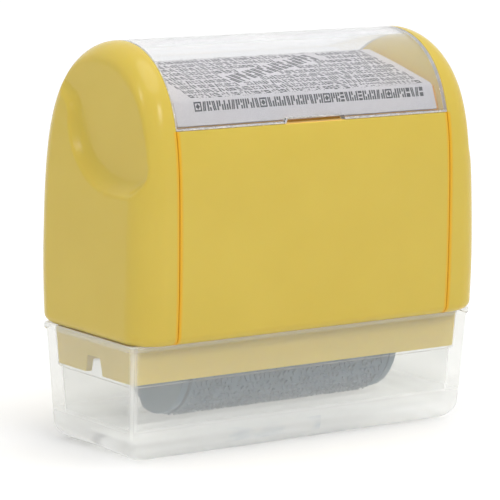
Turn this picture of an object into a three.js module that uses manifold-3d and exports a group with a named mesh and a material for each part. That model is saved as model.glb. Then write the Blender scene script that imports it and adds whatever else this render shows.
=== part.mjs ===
import * as THREE from 'three';
import { mergeVertices } from 'three/addons/utils/BufferGeometryUtils.js';
import Module from 'manifold-3d';

const wasm = await Module();
wasm.setup();

// Frame: millimetres, +Z up, X along the stamp, the front towards -Y, the cap's feet on z = 0.

// Overall sizes
const overallLength = 62;
const overallDepth = 30;
const overallHeight = 60;

// Clearances
const fit = 0.3;
const overrun = 2;
const seamGap = 0.3;

// Cap
const capHeight = 17;
const capSetback = 2.4;
const capWall = 1.1;
const capFloor = 2.4;
const capLip = 0.25;
const capLipHeight = 0.9;
const capDraftLength = 0.6;
const capDraftDepth = 1.4;
const capCornerRadius = 1.4;
const capFootRoundLength = 3;
const capFootRoundDepth = 1.7;
const capFootRoundHeight = 2.8;
const capLedgeWidth = 0.45;
const capArchHeight = 0.7;
const capArchWidth = 13;
const capFit = 0.25;

// Housing shell
const rimGap = 0.3;
const bellyRise = 11.7;
const footInset = 0.45;
const footRound = 1.4;
const archExponent = 4.2;
const cheekLean = 2.1;
const cheekLeanStart = 5;
const cheekFillet = 4.3;
const shellWall = 1.7;
const cheekLength = 6.65;
const panelDrop = 11.9;
const ledgeWidth = 0.75;
const ledgeThickness = 1.2;
const cheekInnerWall = 1.6;
const cheekOuterWall = 3.1;

// Thumb scoop in each cheek
const scoopFloorDepth = 2.45;
const scoopTilt = 1.2;
const scoopRadiusAcross = 13.5;
const scoopRadiusUp = 11.8;
const scoopFrontRadius = 7.4;
const scoopFrontShift = 7;
const scoopTopDrop = 9;
const scoopSoftness = 1.5;
const scoopFlareRadius = 3;
const scoopFlareStart = 10;
const scoopFlareTilt = 25;

// Pry notch in the window's lower edge
const notchWidth = 10.6;
const notchTaper = 0.3;
const notchDepth = 0.6;

// Window and label
const windowWall = 1.2;
const windowPinRadius = 0.5;
const windowPinReach = 0.6;
const cardThickness = 0.3;
const cardRaise = 0.5;
const cardFrontRise = 3.9;
const cardTilt = 15.2;
const cardCrestSetback = 5.5;
const bedWall = 1.4;
const bedDrop = 2.6;

// Base frame
const skirtDrop = 5.6;
const skirtWall = 0.95;
const neckHeight = 4.8;
const wellEndInset = 1.1;
const wellDeck = 1.5;
const rollerWindowInset = 0.55;
const endNotchWidth = 3.4;
const endNotchFlare = 0.6;
const endNotchHeight = 2.6;

// Rollers
const rollerFloorGap = 1.6;
const rollerSideGap = 0.35;
const nipGap = 0.3;
const flangeThickness = 1.2;
const dieBase = 1.1;
const dieRelief = 0.7;
const dieRows = 22;
const dieRowShare = 0.64;
const drumWall = 2.2;
const hubWall = 2;
const printAxleRadius = 1.5;
const inkAxleRadius = 1;
const inkShare = 0.35;
const feltShare = 0.34;
const flangeInset = 0.46;
const inkCapInset = 0.87;

// Carrier
const plateThickness = 1.8;
const plateGap = 0.7;
const plateHeadroom = 4.5;
const plateShoulder = 5;
const lugWall = 0.6;
const tieRadius = 2.1;
const tieSpigotRadius = 1.1;
const tieSpread = 6.4;
const bushWall = 0.9;
const bushFlangeWall = 0.9;
const bushFlangeThickness = 0.6;
const axleReach = 0.3;
const blockHalf = 3;
const springThickness = 0.4;
const springBow = 1.5;

// Facet counts
const roundSides = 40;
const smallSides = 20;
const archSteps = 10;
const filletSteps = 5;
const footSteps = 3;
const cornerSteps = 4;
const softSteps = 3;
const flareSteps = 4;
const archTurnGap = 1;

// Places worked out from the sizes
const halfLength = overallLength / 2;
const halfDepth = overallDepth / 2;
const housingBottom = capHeight + rimGap;
const footRadius = Math.min(footRound, shellWall - fit);
const bellyHeight = housingBottom + bellyRise;
const sillHeight = overallHeight - panelDrop;
const halfPanel = halfLength - cheekLength - seamGap;
const cheekInner = halfPanel + seamGap;
const ledgeInner = cheekInner - ledgeWidth;
const bedFoot = sillHeight - bedDrop;
const bedHalfLength = cheekInner - fit;
const cardHalfLength = ledgeInner - fit;
const windowFoot = sillHeight + fit;
const skirtBottom = capHeight - skirtDrop;
const skirtHalfDepth = capOuterHalfDepth(skirtBottom) - capWall - capFit;
const wellHalfDepth = skirtHalfDepth - skirtWall;
const printRadius = wellHalfDepth - rollerSideGap;
const printAxis = capFloor + rollerFloorGap + printRadius;
const plateTop = sillHeight - plateHeadroom;
const rollerHalfWindow = halfPanel - rollerWindowInset;
const bushReach = fit + bushFlangeThickness;
const rollerHalfLength = rollerHalfWindow - fit - axleReach - bushReach - plateThickness - plateGap;
const nipHeight = printAxis + printRadius + nipGap;
const inkRadius = Math.min((plateTop - nipHeight) * inkShare, wellHalfDepth - rollerSideGap);
const inkAxis = nipHeight + inkRadius;
const plateInner = rollerHalfLength + plateGap;
const plateOuter = plateInner + plateThickness;
const neckTop = housingBottom + neckHeight;

// Surfaces and colours of the materials
const yellow = new THREE.MeshStandardMaterial({ color: 0xf2d568, roughness: 0.32, metalness: 0 });
const deepYellow = new THREE.MeshStandardMaterial({ color: 0xe5c04c, roughness: 0.4, metalness: 0 });
const clear = new THREE.MeshStandardMaterial({ color: 0xf3f6fa, roughness: 0.06, metalness: 0 });
const frosted = new THREE.MeshStandardMaterial({ color: 0xe6e8e2, roughness: 0.3, metalness: 0 });
const paper = new THREE.MeshStandardMaterial({ color: 0xe9e7ea, roughness: 0.85, metalness: 0 });
const rubber = new THREE.MeshStandardMaterial({ color: 0x3d4a54, roughness: 0.75, metalness: 0 });
const felt = new THREE.MeshStandardMaterial({ color: 0x262c33, roughness: 0.95, metalness: 0 });
const greyPlastic = new THREE.MeshStandardMaterial({ color: 0x6f7b84, roughness: 0.45, metalness: 0 });
const nylon = new THREE.MeshStandardMaterial({ color: 0xe4e2da, roughness: 0.5, metalness: 0 });
const steel = new THREE.MeshStandardMaterial({ color: 0xb9bdc1, roughness: 0.28, metalness: 1 });

// Solids from closed meshes

function signedVolume(positions, triangles) {
  const a = new THREE.Vector3();
  const b = new THREE.Vector3();
  const c = new THREE.Vector3();
  let volume = 0;
  for (let i = 0; i < triangles.length; i += 3) {
    a.fromArray(positions, triangles[i] * 3);
    b.fromArray(positions, triangles[i + 1] * 3);
    c.fromArray(positions, triangles[i + 2] * 3);
    volume += a.dot(b.cross(c));
  }
  return volume;
}

function toSolid(geometry) {
  const bare = new THREE.BufferGeometry();
  bare.setAttribute('position', geometry.getAttribute('position').clone());
  if (geometry.index) bare.setIndex(geometry.index.clone());
  const merged = mergeVertices(bare);
  const vertProperties = new Float32Array(merged.getAttribute('position').array);
  const triVerts = new Uint32Array(merged.index.array);
  if (signedVolume(vertProperties, triVerts) < 0) triVerts.reverse();
  return new wasm.Manifold(new wasm.Mesh({ numProp: 3, vertProperties, triVerts }));
}

function toGeometry(solid) {
  const mesh = solid.getMesh();
  const geometry = new THREE.BufferGeometry();
  geometry.setAttribute('position', new THREE.BufferAttribute(new Float32Array(mesh.vertProperties), 3));
  geometry.setIndex(new THREE.BufferAttribute(new Uint32Array(mesh.triVerts), 1));
  return geometry;
}

function cut(body, ...tools) {
  return tools.reduce((rest, tool) => rest.subtract(tool), body);
}

function join(body, ...others) {
  return others.reduce((sum, other) => sum.add(other), body);
}

// Shapes in the YZ plane, drawn out along X; an outline is a list of [y, z]
function prismAlongX(outline, xFrom, xTo) {
  const shape = new THREE.Shape(outline.map(([y, z]) => new THREE.Vector2(y, z)));
  const geometry = new THREE.ExtrudeGeometry(shape, { depth: xTo - xFrom, bevelEnabled: false });
  const turn = new THREE.Matrix4().makeBasis(
    new THREE.Vector3(0, 1, 0), new THREE.Vector3(0, 0, 1), new THREE.Vector3(1, 0, 0));
  geometry.applyMatrix4(turn);
  geometry.translate(xFrom, 0, 0);
  return toSolid(geometry);
}

// Shapes in the XZ plane, drawn out along Y; an outline is a list of [x, z]
function prismAlongY(outline, yFrom, yTo) {
  const shape = new THREE.Shape(outline.map(([x, z]) => new THREE.Vector2(x, z)));
  const geometry = new THREE.ExtrudeGeometry(shape, { depth: yTo - yFrom, bevelEnabled: false });
  geometry.rotateX(Math.PI / 2);
  geometry.translate(0, yTo, 0);
  return toSolid(geometry);
}

function block(xFrom, xTo, yFrom, yTo, zFrom, zTo) {
  const geometry = new THREE.BoxGeometry(xTo - xFrom, yTo - yFrom, zTo - zFrom);
  geometry.translate((xFrom + xTo) / 2, (yFrom + yTo) / 2, (zFrom + zTo) / 2);
  return toSolid(geometry);
}

// A solid of revolution about an axis along X; the profile is a list of [x, radius]
function revolve(profile, y, z, sides = roundSides) {
  const points = profile.map(([x, radius]) => new THREE.Vector2(radius, x));
  const geometry = new THREE.LatheGeometry(points, sides);
  geometry.rotateZ(-Math.PI / 2);
  geometry.translate(0, y, z);
  return toSolid(geometry);
}

function rod(radius, xFrom, xTo, y, z, sides = smallSides) {
  return revolve([[xFrom, 0], [xFrom, radius], [xTo, radius], [xTo, 0]], y, z, sides);
}

function tube(inner, outer, xFrom, xTo, y, z, sides = roundSides) {
  const profile = [[xFrom, inner], [xFrom, outer], [xTo, outer], [xTo, inner], [xFrom, inner]];
  return revolve(profile, y, z, sides);
}

// A rectangle with rounded corners at one height
function roundedRectangle(halfX, halfY, radius, z) {
  const points = [];
  const corners = [[1, 1, 0], [-1, 1, 1], [-1, -1, 2], [1, -1, 3]];
  for (const [sx, sy, quarter] of corners) {
    for (let i = 0; i <= cornerSteps; i += 1) {
      const turn = (quarter + i / cornerSteps) * Math.PI / 2;
      const x = sx * (halfX - radius) + radius * Math.cos(turn);
      const y = sy * (halfY - radius) + radius * Math.sin(turn);
      points.push(new THREE.Vector3(x, y, z));
    }
  }
  return points;
}

// Rings of equal count, joined in order, with a fan over each end
function loft(rings) {
  const count = rings[0].length;
  const positions = rings.flatMap((ring) => ring.flatMap((point) => point.toArray()));
  const triangles = [];
  for (let j = 0; j + 1 < rings.length; j += 1) {
    for (let i = 0; i < count; i += 1) {
      const a = j * count + i;
      const b = j * count + (i + 1) % count;
      triangles.push(a, b, b + count, a, b + count, a + count);
    }
  }
  const last = (rings.length - 1) * count;
  for (let i = 1; i + 1 < count; i += 1) {
    triangles.push(0, i + 1, i, last, last + i, last + i + 1);
  }
  const geometry = new THREE.BufferGeometry();
  geometry.setAttribute('position', new THREE.Float32BufferAttribute(positions, 3));
  geometry.setIndex(triangles);
  return toSolid(geometry);
}

// Cap sections

function capOuterHalfDepth(z) {
  return halfDepth - capSetback - capLip - capDraftDepth * (1 - z / capHeight);
}

function capOuterHalfLength(z) {
  return halfLength - capLip - capDraftLength * (1 - z / capHeight);
}

function capSection(z, insetX, insetY) {
  const radius = capCornerRadius;
  return roundedRectangle(capOuterHalfLength(z) - insetX, capOuterHalfDepth(z) - insetY, radius, z);
}

function makeCap() {
  const outer = [];
  for (let i = 0; i <= cornerSteps; i += 1) {
    const turn = i / cornerSteps * Math.PI / 2;
    const z = capFootRoundHeight * (1 - Math.sin(turn));
    const share = 1 - Math.cos(turn);
    outer.unshift(capSection(z, capFootRoundLength * share, capFootRoundDepth * share));
  }
  const lipBottom = capHeight - capLipHeight;
  outer.push(capSection(lipBottom, 0, 0));
  outer.push(capSection(lipBottom + capLip, -capLip, -capLip));
  outer.push(capSection(capHeight - capLip, -capLip, -capLip));
  outer.push(capSection(capHeight, 0, 0));

  const ledgeTop = skirtBottom - fit;
  const thick = capWall + capLedgeWidth;
  const inner = [
    capSection(capFloor, thick + capFloor / 2, thick + capFloor / 2),
    capSection(capFloor + capWall / 2, thick + capWall / 2, thick + capWall / 2),
    capSection(capFloor + capFloor / 2, thick, thick),
    capSection(ledgeTop, thick, thick),
    capSection(ledgeTop, capWall, capWall),
    capSection(capHeight + overrun, capWall, capWall),
  ];

  const arch = [];
  for (let i = 0; i <= archSteps; i += 1) {
    const turn = i / archSteps * Math.PI;
    arch.push([capArchWidth / 2 * Math.cos(turn), capArchHeight * Math.sin(turn)]);
  }
  arch.push([-capArchWidth / 2, -overrun], [capArchWidth / 2, -overrun]);
  const tunnel = prismAlongX(arch, -halfLength - overrun, halfLength + overrun);
  return cut(loft(outer), loft(inner), tunnel);
}

// Housing profile in the YZ plane

function profileHalfDepth(z) {
  if (z < bellyHeight) {
    return halfDepth - footInset * ((bellyHeight - z) / bellyRise) ** 2;
  }
  const rise = Math.min((z - bellyHeight) / (overallHeight - bellyHeight), 1);
  return halfDepth * Math.sqrt(1 - rise ** archExponent);
}

function footRounding(z) {
  const below = Math.min(housingBottom + footRadius - z, footRadius);
  return below > 0 ? footRadius - Math.sqrt(footRadius ** 2 - below ** 2) : 0;
}

function cheekHalfLength(z) {
  const start = housingBottom + cheekLeanStart;
  const rise = Math.max(z - start, 0) / (overallHeight - start);
  return halfLength - cheekLean * rise ** 2 - footRounding(z);
}

// A point of the arch, from 0 at the belly to 90 degrees at the crest, set in by some distance
function archPoint(degrees, inset) {
  const turn = THREE.MathUtils.degToRad(degrees);
  const rise = overallHeight - bellyHeight;
  const share = Math.sin(turn) ** (2 / archExponent);
  const y = halfDepth * Math.cos(turn);
  const normal = new THREE.Vector2(
    2 * y / halfDepth ** 2, archExponent * share ** (archExponent - 1) / rise).normalize();
  return [y - normal.x * inset, bellyHeight + rise * share - normal.y * inset];
}

function archHeight(y) {
  const share = (1 - (y / halfDepth) ** 2) ** (1 / archExponent);
  return bellyHeight + (overallHeight - bellyHeight) * share;
}

function archTurnAt(z) {
  const share = (z - bellyHeight) / (overallHeight - bellyHeight);
  return THREE.MathUtils.radToDeg(Math.asin(share ** (archExponent / 2)));
}

// The rear half of the housing outline, from its foot to the crest
function housingSide(inset) {
  const side = [];
  for (let i = 0; i <= footSteps; i += 1) {
    const z = housingBottom + footRadius * (1 - Math.cos(i / footSteps * Math.PI / 2));
    side.push([profileHalfDepth(z) - footRounding(z) - inset, z]);
  }
  const middle = (housingBottom + footRadius + bellyHeight) / 2;
  side.push([profileHalfDepth(middle) - inset, middle]);
  for (let i = 0; i <= archSteps; i += 1) {
    side.push(archPoint(i / archSteps * 90, inset));
  }
  return side;
}

// The whole outline, from the front foot over the crest to the rear foot
function housingOutline(inset) {
  const rear = housingSide(inset);
  const front = rear.slice(0, -1).map(([y, z]) => [-y, z]);
  return [...front, ...rear.reverse()];
}

// A closed form between rings that share one outline count, with faces ruled from front to rear
function ruledForm(rings) {
  const count = rings[0].length;
  const positions = rings.flatMap((ring) => ring.flatMap((point) => point));
  const triangles = [];
  const quad = (a, b, c, d) => {
    if (a !== b && b !== c && a !== c) triangles.push(a, b, c);
    if (a !== c && c !== d && a !== d) triangles.push(a, c, d);
  };
  for (let j = 0; j + 1 < rings.length; j += 1) {
    for (let i = 0; i + 1 < count; i += 1) {
      const a = j * count + i;
      quad(a, a + 1, a + 1 + count, a + count);
    }
    quad(j * count + count - 1, j * count, (j + 1) * count, (j + 1) * count + count - 1);
  }
  const last = (rings.length - 1) * count;
  for (let i = 0; i < Math.floor(count / 2); i += 1) {
    const k = count - 1 - i;
    quad(i + 1, i, k, k - 1);
    quad(last + i, last + i + 1, last + k - 1, last + k);
  }
  const geometry = new THREE.BufferGeometry();
  geometry.setAttribute('position', new THREE.Float32BufferAttribute(positions, 3));
  geometry.setIndex(triangles);
  return toSolid(geometry);
}

function cheekBody(side) {
  const heights = housingOutline(0).map(([, z]) => z);
  const rings = [housingOutline(0).map(([y, z]) => [side * cheekInner, y, z])];
  for (let i = 0; i <= filletSteps; i += 1) {
    const turn = i / filletSteps * Math.PI / 2;
    const inset = cheekFillet * (1 - Math.cos(turn));
    const back = cheekFillet * (1 - Math.sin(turn));
    const reach = (k) => side * (cheekHalfLength(heights[k]) - back);
    rings.push(housingOutline(inset).map(([y, z], k) => [reach(k), y, z]));
  }
  return ruledForm(rings);
}

// The hollow of a cheek, open at the bottom
function cheekHollow(side) {
  const outline = housingOutline(shellWall + fit);
  const heights = outline.map(([, z]) => z);
  const drop = (z) => (z < housingBottom + footRadius ? z - overrun : z);
  const near = cheekInner + cheekInnerWall;
  const far = (z) => cheekHalfLength(Math.max(z, bellyHeight)) - cheekOuterWall;
  const deep = housingOutline(cheekOuterWall + fit);
  return ruledForm([
    outline.map(([y, z]) => [side * near, y, drop(z)]),
    deep.map(([y, z], k) => [side * far(heights[k]), y, drop(z)]),
  ]);
}

// The ledge behind one panel, from the foot up to the label bed
function cheekLedge(side, end) {
  const top = bedFoot - fit;
  const heights = housingSide(0).map(([, z]) => z).filter((z) => z < top - fit);
  heights.push(top);
  const line = (inset) => heights.map((z) => [end * (profileHalfDepth(z) - inset), z]);
  const strip = [...line(shellWall + fit), ...line(shellWall + fit + ledgeThickness).reverse()];
  const xs = [side * ledgeInner, side * (cheekInner + cheekInnerWall / 2)].sort((a, b) => a - b);
  return prismAlongX(strip, xs[0], xs[1]);
}

// Edge of the scoop in the YZ plane, as points with the direction in which the scoop grows
function scoopPath() {
  const front = -halfDepth - overrun;
  const rear = halfDepth + overrun;
  const top = overallHeight + overrun;
  const centreZ = overallHeight - scoopTopDrop;
  const frontY = front + scoopFrontRadius;
  const frontZ = centreZ - scoopRadiusUp + scoopFrontRadius;
  const path = [{ y: front, z: top, ny: -1, nz: 0 }];

  // The rounded lower corner at the front
  for (let i = 0; i <= cornerSteps; i += 1) {
    const turn = (1 + i / cornerSteps / 2) * Math.PI;
    const [ny, nz] = [Math.cos(turn), Math.sin(turn)];
    path.push({ y: frontY + scoopFrontRadius * ny, z: frontZ + scoopFrontRadius * nz, ny, nz });
  }

  // The elliptic edge under the thumb, up to where it flares
  const flareStart = THREE.MathUtils.degToRad(scoopFlareStart);
  const from = -Math.PI / 2;
  for (let i = 0; i <= archSteps; i += 1) {
    const turn = from + i / archSteps * (-flareStart - from);
    const [c, s] = [Math.cos(turn), Math.sin(turn)];
    const normal = new THREE.Vector2(c / scoopRadiusAcross, s / scoopRadiusUp).normalize();
    const y = scoopRadiusAcross * c - scoopFrontShift;
    path.push({ y, z: centreZ + scoopRadiusUp * s, ny: normal.x, nz: normal.y });
  }

  // The flare that leads the edge out over the rear of the arch
  const last = path[path.length - 1];
  const flareY = last.y + scoopFlareRadius * last.ny;
  const flareZ = last.z + scoopFlareRadius * last.nz;
  const begin = Math.atan2(last.nz, last.ny);
  const end = THREE.MathUtils.degToRad(scoopFlareTilt) - Math.PI / 2;
  for (let i = 1; i <= flareSteps; i += 1) {
    const turn = begin + i / flareSteps * (end - begin);
    const [ny, nz] = [Math.cos(turn), Math.sin(turn)];
    path.push({ y: flareY - scoopFlareRadius * ny, z: flareZ - scoopFlareRadius * nz, ny, nz });
  }
  const out = path[path.length - 1];
  const rise = Math.tan(THREE.MathUtils.degToRad(scoopFlareTilt));
  path.push({ y: rear, z: out.z + (rear - out.y) * rise, ny: out.ny, nz: out.nz });
  path.push({ y: rear, z: top, ny: 1, nz: 0 });
  return path;
}

function scoopTool(side) {
  const slope = Math.tan(THREE.MathUtils.degToRad(scoopTilt));
  const floor = halfLength - scoopFloorDepth;
  const path = scoopPath();
  const ring = (out, grow) => path.map(({ y, z, ny, nz }) => (
    [side * (floor + out - slope * y), y + ny * grow, z + nz * grow]));
  const rings = [ring(0, -scoopSoftness)];
  for (let i = 1; i <= softSteps; i += 1) {
    const turn = i / softSteps * Math.PI / 2;
    rings.push(ring(scoopSoftness * (1 - Math.cos(turn)), -scoopSoftness * (1 - Math.sin(turn))));
  }
  rings.push(ring(scoopFloorDepth + overrun, 0));
  return capped(rings);
}

// Rings joined in order, with flat ends triangulated from the first ring's outline in YZ
function capped(rings) {
  const count = rings[0].length;
  const contour = rings[0].map(([, y, z]) => new THREE.Vector2(y, z));
  const faces = THREE.ShapeUtils.triangulateShape(contour, []);
  const triangles = [];
  for (let j = 0; j + 1 < rings.length; j += 1) {
    for (let i = 0; i < count; i += 1) {
      const a = j * count + i;
      const b = j * count + (i + 1) % count;
      triangles.push(a, b, b + count, a, b + count, a + count);
    }
  }
  const turned = THREE.ShapeUtils.isClockWise(contour);
  const last = (rings.length - 1) * count;
  for (const [a, b, c] of faces) {
    if (turned) triangles.push(a, b, c, last + c, last + b, last + a);
    else triangles.push(a, c, b, last + a, last + b, last + c);
  }
  const geometry = new THREE.BufferGeometry();
  geometry.setAttribute('position', new THREE.Float32BufferAttribute(rings.flat(2), 3));
  geometry.setIndex(triangles);
  return toSolid(geometry);
}

function makeCheek(side) {
  const pinDepth = windowPinReach + fit;
  const xs = [side * (cheekInner - overrun), side * (cheekInner + pinDepth)].sort((a, b) => a - b);
  const pinHole = rod(windowPinRadius + fit, xs[0], xs[1], hingeY, hingeZ);
  const shell = cut(cheekBody(side), cheekHollow(side), scoopTool(side));
  return cut(join(shell, cheekLedge(side, -1), cheekLedge(side, 1)), pinHole);
}

// Panels

function panelOutline(side) {
  const outline = housingSide(0).filter(([, z]) => z < sillHeight - fit);
  outline.push([profileHalfDepth(sillHeight), sillHeight]);
  const heights = outline.map(([, z]) => z);
  const inner = heights.reverse().map((z) => [profileHalfDepth(z) - shellWall, z]);
  return [...outline, ...inner].map(([y, z]) => [side * y, z]);
}

function makePanel(side) {
  return prismAlongX(panelOutline(side), -halfPanel, halfPanel);
}

// Window, with a round hinge bead along its rear edge and a pin at each end of it

const hingeZ = windowFoot + windowWall / 2;
const hingeY = profileHalfDepth(hingeZ) - windowWall / 2;

function archBand(insetOuter, insetInner, fromDegrees) {
  const turns = [fromDegrees];
  for (let i = 1; i <= archSteps; i += 1) {
    const turn = i / archSteps * 90;
    if (turn > fromDegrees + archTurnGap) turns.push(turn);
  }
  const rearOuter = turns.map((turn) => archPoint(turn, insetOuter));
  const rearInner = turns.map((turn) => archPoint(turn, insetInner));
  const mirror = (points) => points.slice(0, -1).map(([y, z]) => [-y, z]);
  return [
    ...mirror(rearOuter), ...rearOuter.slice().reverse(),
    ...rearInner, ...mirror(rearInner).reverse(),
  ];
}

function makeWindow() {
  const shell = prismAlongX(archBand(0, windowWall, archTurnAt(hingeZ)), -halfPanel, halfPanel);
  const frontFoot = block(
    -halfPanel, halfPanel, -profileHalfDepth(windowFoot), -profileHalfDepth(windowFoot) + windowWall,
    windowFoot, hingeZ + fit);
  const bead = rod(windowWall / 2, -halfPanel, halfPanel, hingeY, hingeZ);
  const reach = cheekInner + windowPinReach;
  const pins = rod(windowPinRadius, -reach, reach, hingeY, hingeZ);
  return cut(join(shell, frontFoot, bead, pins), pryNotch());
}

function pryNotch() {
  const low = notchWidth / 2;
  const high = low - notchTaper;
  const top = windowFoot + notchDepth;
  return prismAlongY([
    [-low, windowFoot - overrun], [low, windowFoot - overrun], [low, windowFoot],
    [high, top], [-high, top], [-low, windowFoot],
  ], -halfDepth - overrun, 0);
}

// Label card and the bed under it

function cardLine() {
  const inset = Math.max(windowWall + fit, shellWall - cardThickness);
  const front = archPoint(archTurnAt(windowFoot + cardRaise), inset);
  const bend = archPoint(archTurnAt(windowFoot + cardRaise + cardFrontRise), inset);
  const slope = Math.tan(THREE.MathUtils.degToRad(cardTilt));
  const roof = archHeight(cardCrestSetback) - inset;
  const crest = Math.min(bend[1] + slope * (cardCrestSetback + bend[0]), roof);
  return [[-front[0], front[1]], [-bend[0], bend[1]], [cardCrestSetback, crest], [front[0], front[1]]];
}

// An open line moved to its right by some distance, with mitred corners
function movedLine(line, distance) {
  const normals = [];
  for (let i = 0; i + 1 < line.length; i += 1) {
    const [ay, az] = line[i];
    const [by, bz] = line[i + 1];
    normals.push(new THREE.Vector2(bz - az, ay - by).normalize());
  }
  return line.map(([y, z], i) => {
    const before = normals[Math.max(i - 1, 0)];
    const after = normals[Math.min(i, normals.length - 1)];
    const mitre = before.clone().add(after);
    const scale = distance * 2 / mitre.lengthSq();
    return [y + mitre.x * scale, z + mitre.y * scale];
  });
}

function makeCard() {
  const line = cardLine();
  const outline = [...line, ...movedLine(line, cardThickness).reverse()];
  return prismAlongX(outline, -cardHalfLength, cardHalfLength);
}

function makeBed() {
  const top = movedLine(cardLine(), cardThickness + fit / 2);
  const line = [[top[0][0], bedFoot], ...top, [top[3][0], bedFoot]];
  const outline = [...line, ...movedLine(line, bedWall).reverse()];
  return prismAlongX(outline, -bedHalfLength, bedHalfLength);
}

// Base frame: the skirt inside the cap, the end decks and the neck inside the housing

function skirtSection(z) {
  const gap = capWall + capFit;
  return roundedRectangle(
    capOuterHalfLength(z) - gap, capOuterHalfDepth(z) - gap, capCornerRadius - capWall / 2, z);
}

function makeBaseFrame() {
  const skirt = loft([skirtSection(skirtBottom), skirtSection(capHeight)]);
  const neckHalfLength = ledgeInner - fit;
  const neckHalfDepth = profileHalfDepth(housingBottom) - shellWall - fit;
  const neck = block(
    -neckHalfLength, neckHalfLength, -neckHalfDepth, neckHalfDepth, housingBottom, neckTop);
  const throat = block(
    -neckHalfLength, neckHalfLength, -skirtHalfDepth, skirtHalfDepth, capHeight - fit, housingBottom + fit);

  const well = block(
    -rollerHalfWindow, rollerHalfWindow, -wellHalfDepth, wellHalfDepth,
    skirtBottom - overrun, neckTop + overrun);
  const pocketHalf = capOuterHalfLength(skirtBottom) - capWall - capFit - wellEndInset;
  const pocket = block(
    -pocketHalf, pocketHalf, -wellHalfDepth, wellHalfDepth, skirtBottom - overrun, capHeight - wellDeck);

  const half = endNotchWidth / 2;
  const notch = prismAlongX([
    [-half - endNotchFlare, skirtBottom - overrun], [half + endNotchFlare, skirtBottom - overrun],
    [half + endNotchFlare, skirtBottom], [half, skirtBottom + endNotchHeight],
    [-half, skirtBottom + endNotchHeight], [-half - endNotchFlare, skirtBottom],
  ], -halfLength, halfLength);
  return cut(join(skirt, throat, neck), well, pocket, notch);
}

// Print roller

function makeDrum() {
  const outer = printRadius - dieRelief - dieBase - fit;
  const half = rollerHalfLength - flangeThickness - fit;
  const bore = printAxleRadius + fit;
  const hub = bore + hubWall;
  const web = flangeThickness;
  return revolve([
    [-half, outer - drumWall], [-half, outer], [half, outer], [half, outer - drumWall],
    [half / 2 + web, outer - drumWall], [half / 2 + web, hub], [half, hub], [half, bore],
    [-half, bore], [-half, hub], [-half / 2 - web, hub], [-half / 2 - web, outer - drumWall],
    [-half, outer - drumWall],
  ], 0, printAxis);
}

function dieOutline() {
  const outline = [];
  const pitch = Math.PI * 2 / dieRows;
  const base = printRadius - dieRelief;
  for (let i = 0; i < dieRows; i += 1) {
    const from = i * pitch;
    const to = from + pitch * dieRowShare;
    for (const [radius, turn] of [[base, from], [printRadius, from], [printRadius, to], [base, to]]) {
      outline.push([radius * Math.cos(turn), printAxis + radius * Math.sin(turn)]);
    }
  }
  return outline;
}

function makeDie() {
  const half = rollerHalfLength - flangeThickness - fit;
  const bore = rod(printRadius - dieRelief - dieBase, -halfLength, halfLength, 0, printAxis, roundSides);
  return cut(prismAlongX(dieOutline(), -half, half), bore);
}

function makePrintFlange(side) {
  const xs = [rollerHalfLength - flangeThickness, rollerHalfLength].map((x) => side * x);
  const outer = printRadius - flangeInset;
  return tube(printAxleRadius + fit, outer, Math.min(...xs), Math.max(...xs), 0, printAxis);
}

const bushOuter = printAxleRadius + fit + bushWall;
const axleEnd = plateOuter + bushReach + axleReach;

function makeBush(side) {
  const bore = printAxleRadius + fit;
  const inner = side * (plateInner - fit / 2);
  const step = side * (plateOuter + fit);
  const end = side * (plateOuter + bushReach);
  const flange = bushOuter + bushFlangeWall;
  const profile = [
    [inner, bore], [inner, bushOuter], [step, bushOuter], [step, flange], [end, flange], [end, bore],
    [inner, bore],
  ];
  return revolve(profile, 0, printAxis, smallSides);
}

// Ink roller

const inkCoreRadius = inkRadius * (1 - feltShare);

function makeInkCore() {
  const half = rollerHalfLength - flangeThickness - fit;
  return tube(inkAxleRadius + fit, inkCoreRadius, -half, half, 0, inkAxis, smallSides);
}

function makeInkSleeve() {
  const half = rollerHalfLength - flangeThickness - fit;
  return tube(inkCoreRadius + fit, inkRadius, -half, half, 0, inkAxis);
}

function makeInkCap(side) {
  const xs = [rollerHalfLength - flangeThickness, rollerHalfLength].map((x) => side * x);
  const outer = inkRadius - inkCapInset;
  return tube(inkAxleRadius + fit, outer, Math.min(...xs), Math.max(...xs), 0, inkAxis, smallSides);
}

// Carrier

const springFoot = inkAxis + blockHalf + fit;
const slotTop = springFoot + springBow + springThickness + fit;
const tieHeight = plateTop - tieRadius;

function plateOutline() {
  const half = wellHalfDepth - fit;
  const lug = bushOuter + fit + lugWall;
  const outline = [];
  for (let i = 0; i <= archSteps; i += 1) {
    const turn = (1 + i / archSteps) * Math.PI;
    outline.push([lug * Math.cos(turn), printAxis + lug * Math.sin(turn)]);
  }
  outline.push([half, printAxis + plateShoulder], [half, plateTop - tieRadius * 2]);
  outline.push([half - tieRadius, plateTop], [-half + tieRadius, plateTop]);
  outline.push([-half, plateTop - tieRadius * 2], [-half, printAxis + plateShoulder]);
  return outline;
}

function makeSidePlate(side) {
  const xs = [side * plateInner, side * plateOuter].sort((a, b) => a - b);
  const reach = [xs[0] - overrun, xs[1] + overrun];
  const plate = prismAlongX(plateOutline(), xs[0], xs[1]);
  const bore = rod(bushOuter + fit, reach[0], reach[1], 0, printAxis);
  const slotHalf = blockHalf + fit;
  const slot = block(reach[0], reach[1], -slotHalf, slotHalf, inkAxis - blockHalf - fit, slotTop);
  const tieHoles = [-1, 1].map((end) => rod(
    tieSpigotRadius + fit, reach[0], reach[1], end * tieSpread, tieHeight));
  return cut(plate, bore, slot, ...tieHoles);
}

function makeTieBar(end) {
  const shoulder = plateInner - fit;
  const tip = plateOuter;
  return revolve([
    [-tip, 0], [-tip, tieSpigotRadius], [-shoulder, tieSpigotRadius], [-shoulder, tieRadius],
    [shoulder, tieRadius], [shoulder, tieSpigotRadius], [tip, tieSpigotRadius], [tip, 0],
  ], end * tieSpread, tieHeight, smallSides);
}

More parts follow.
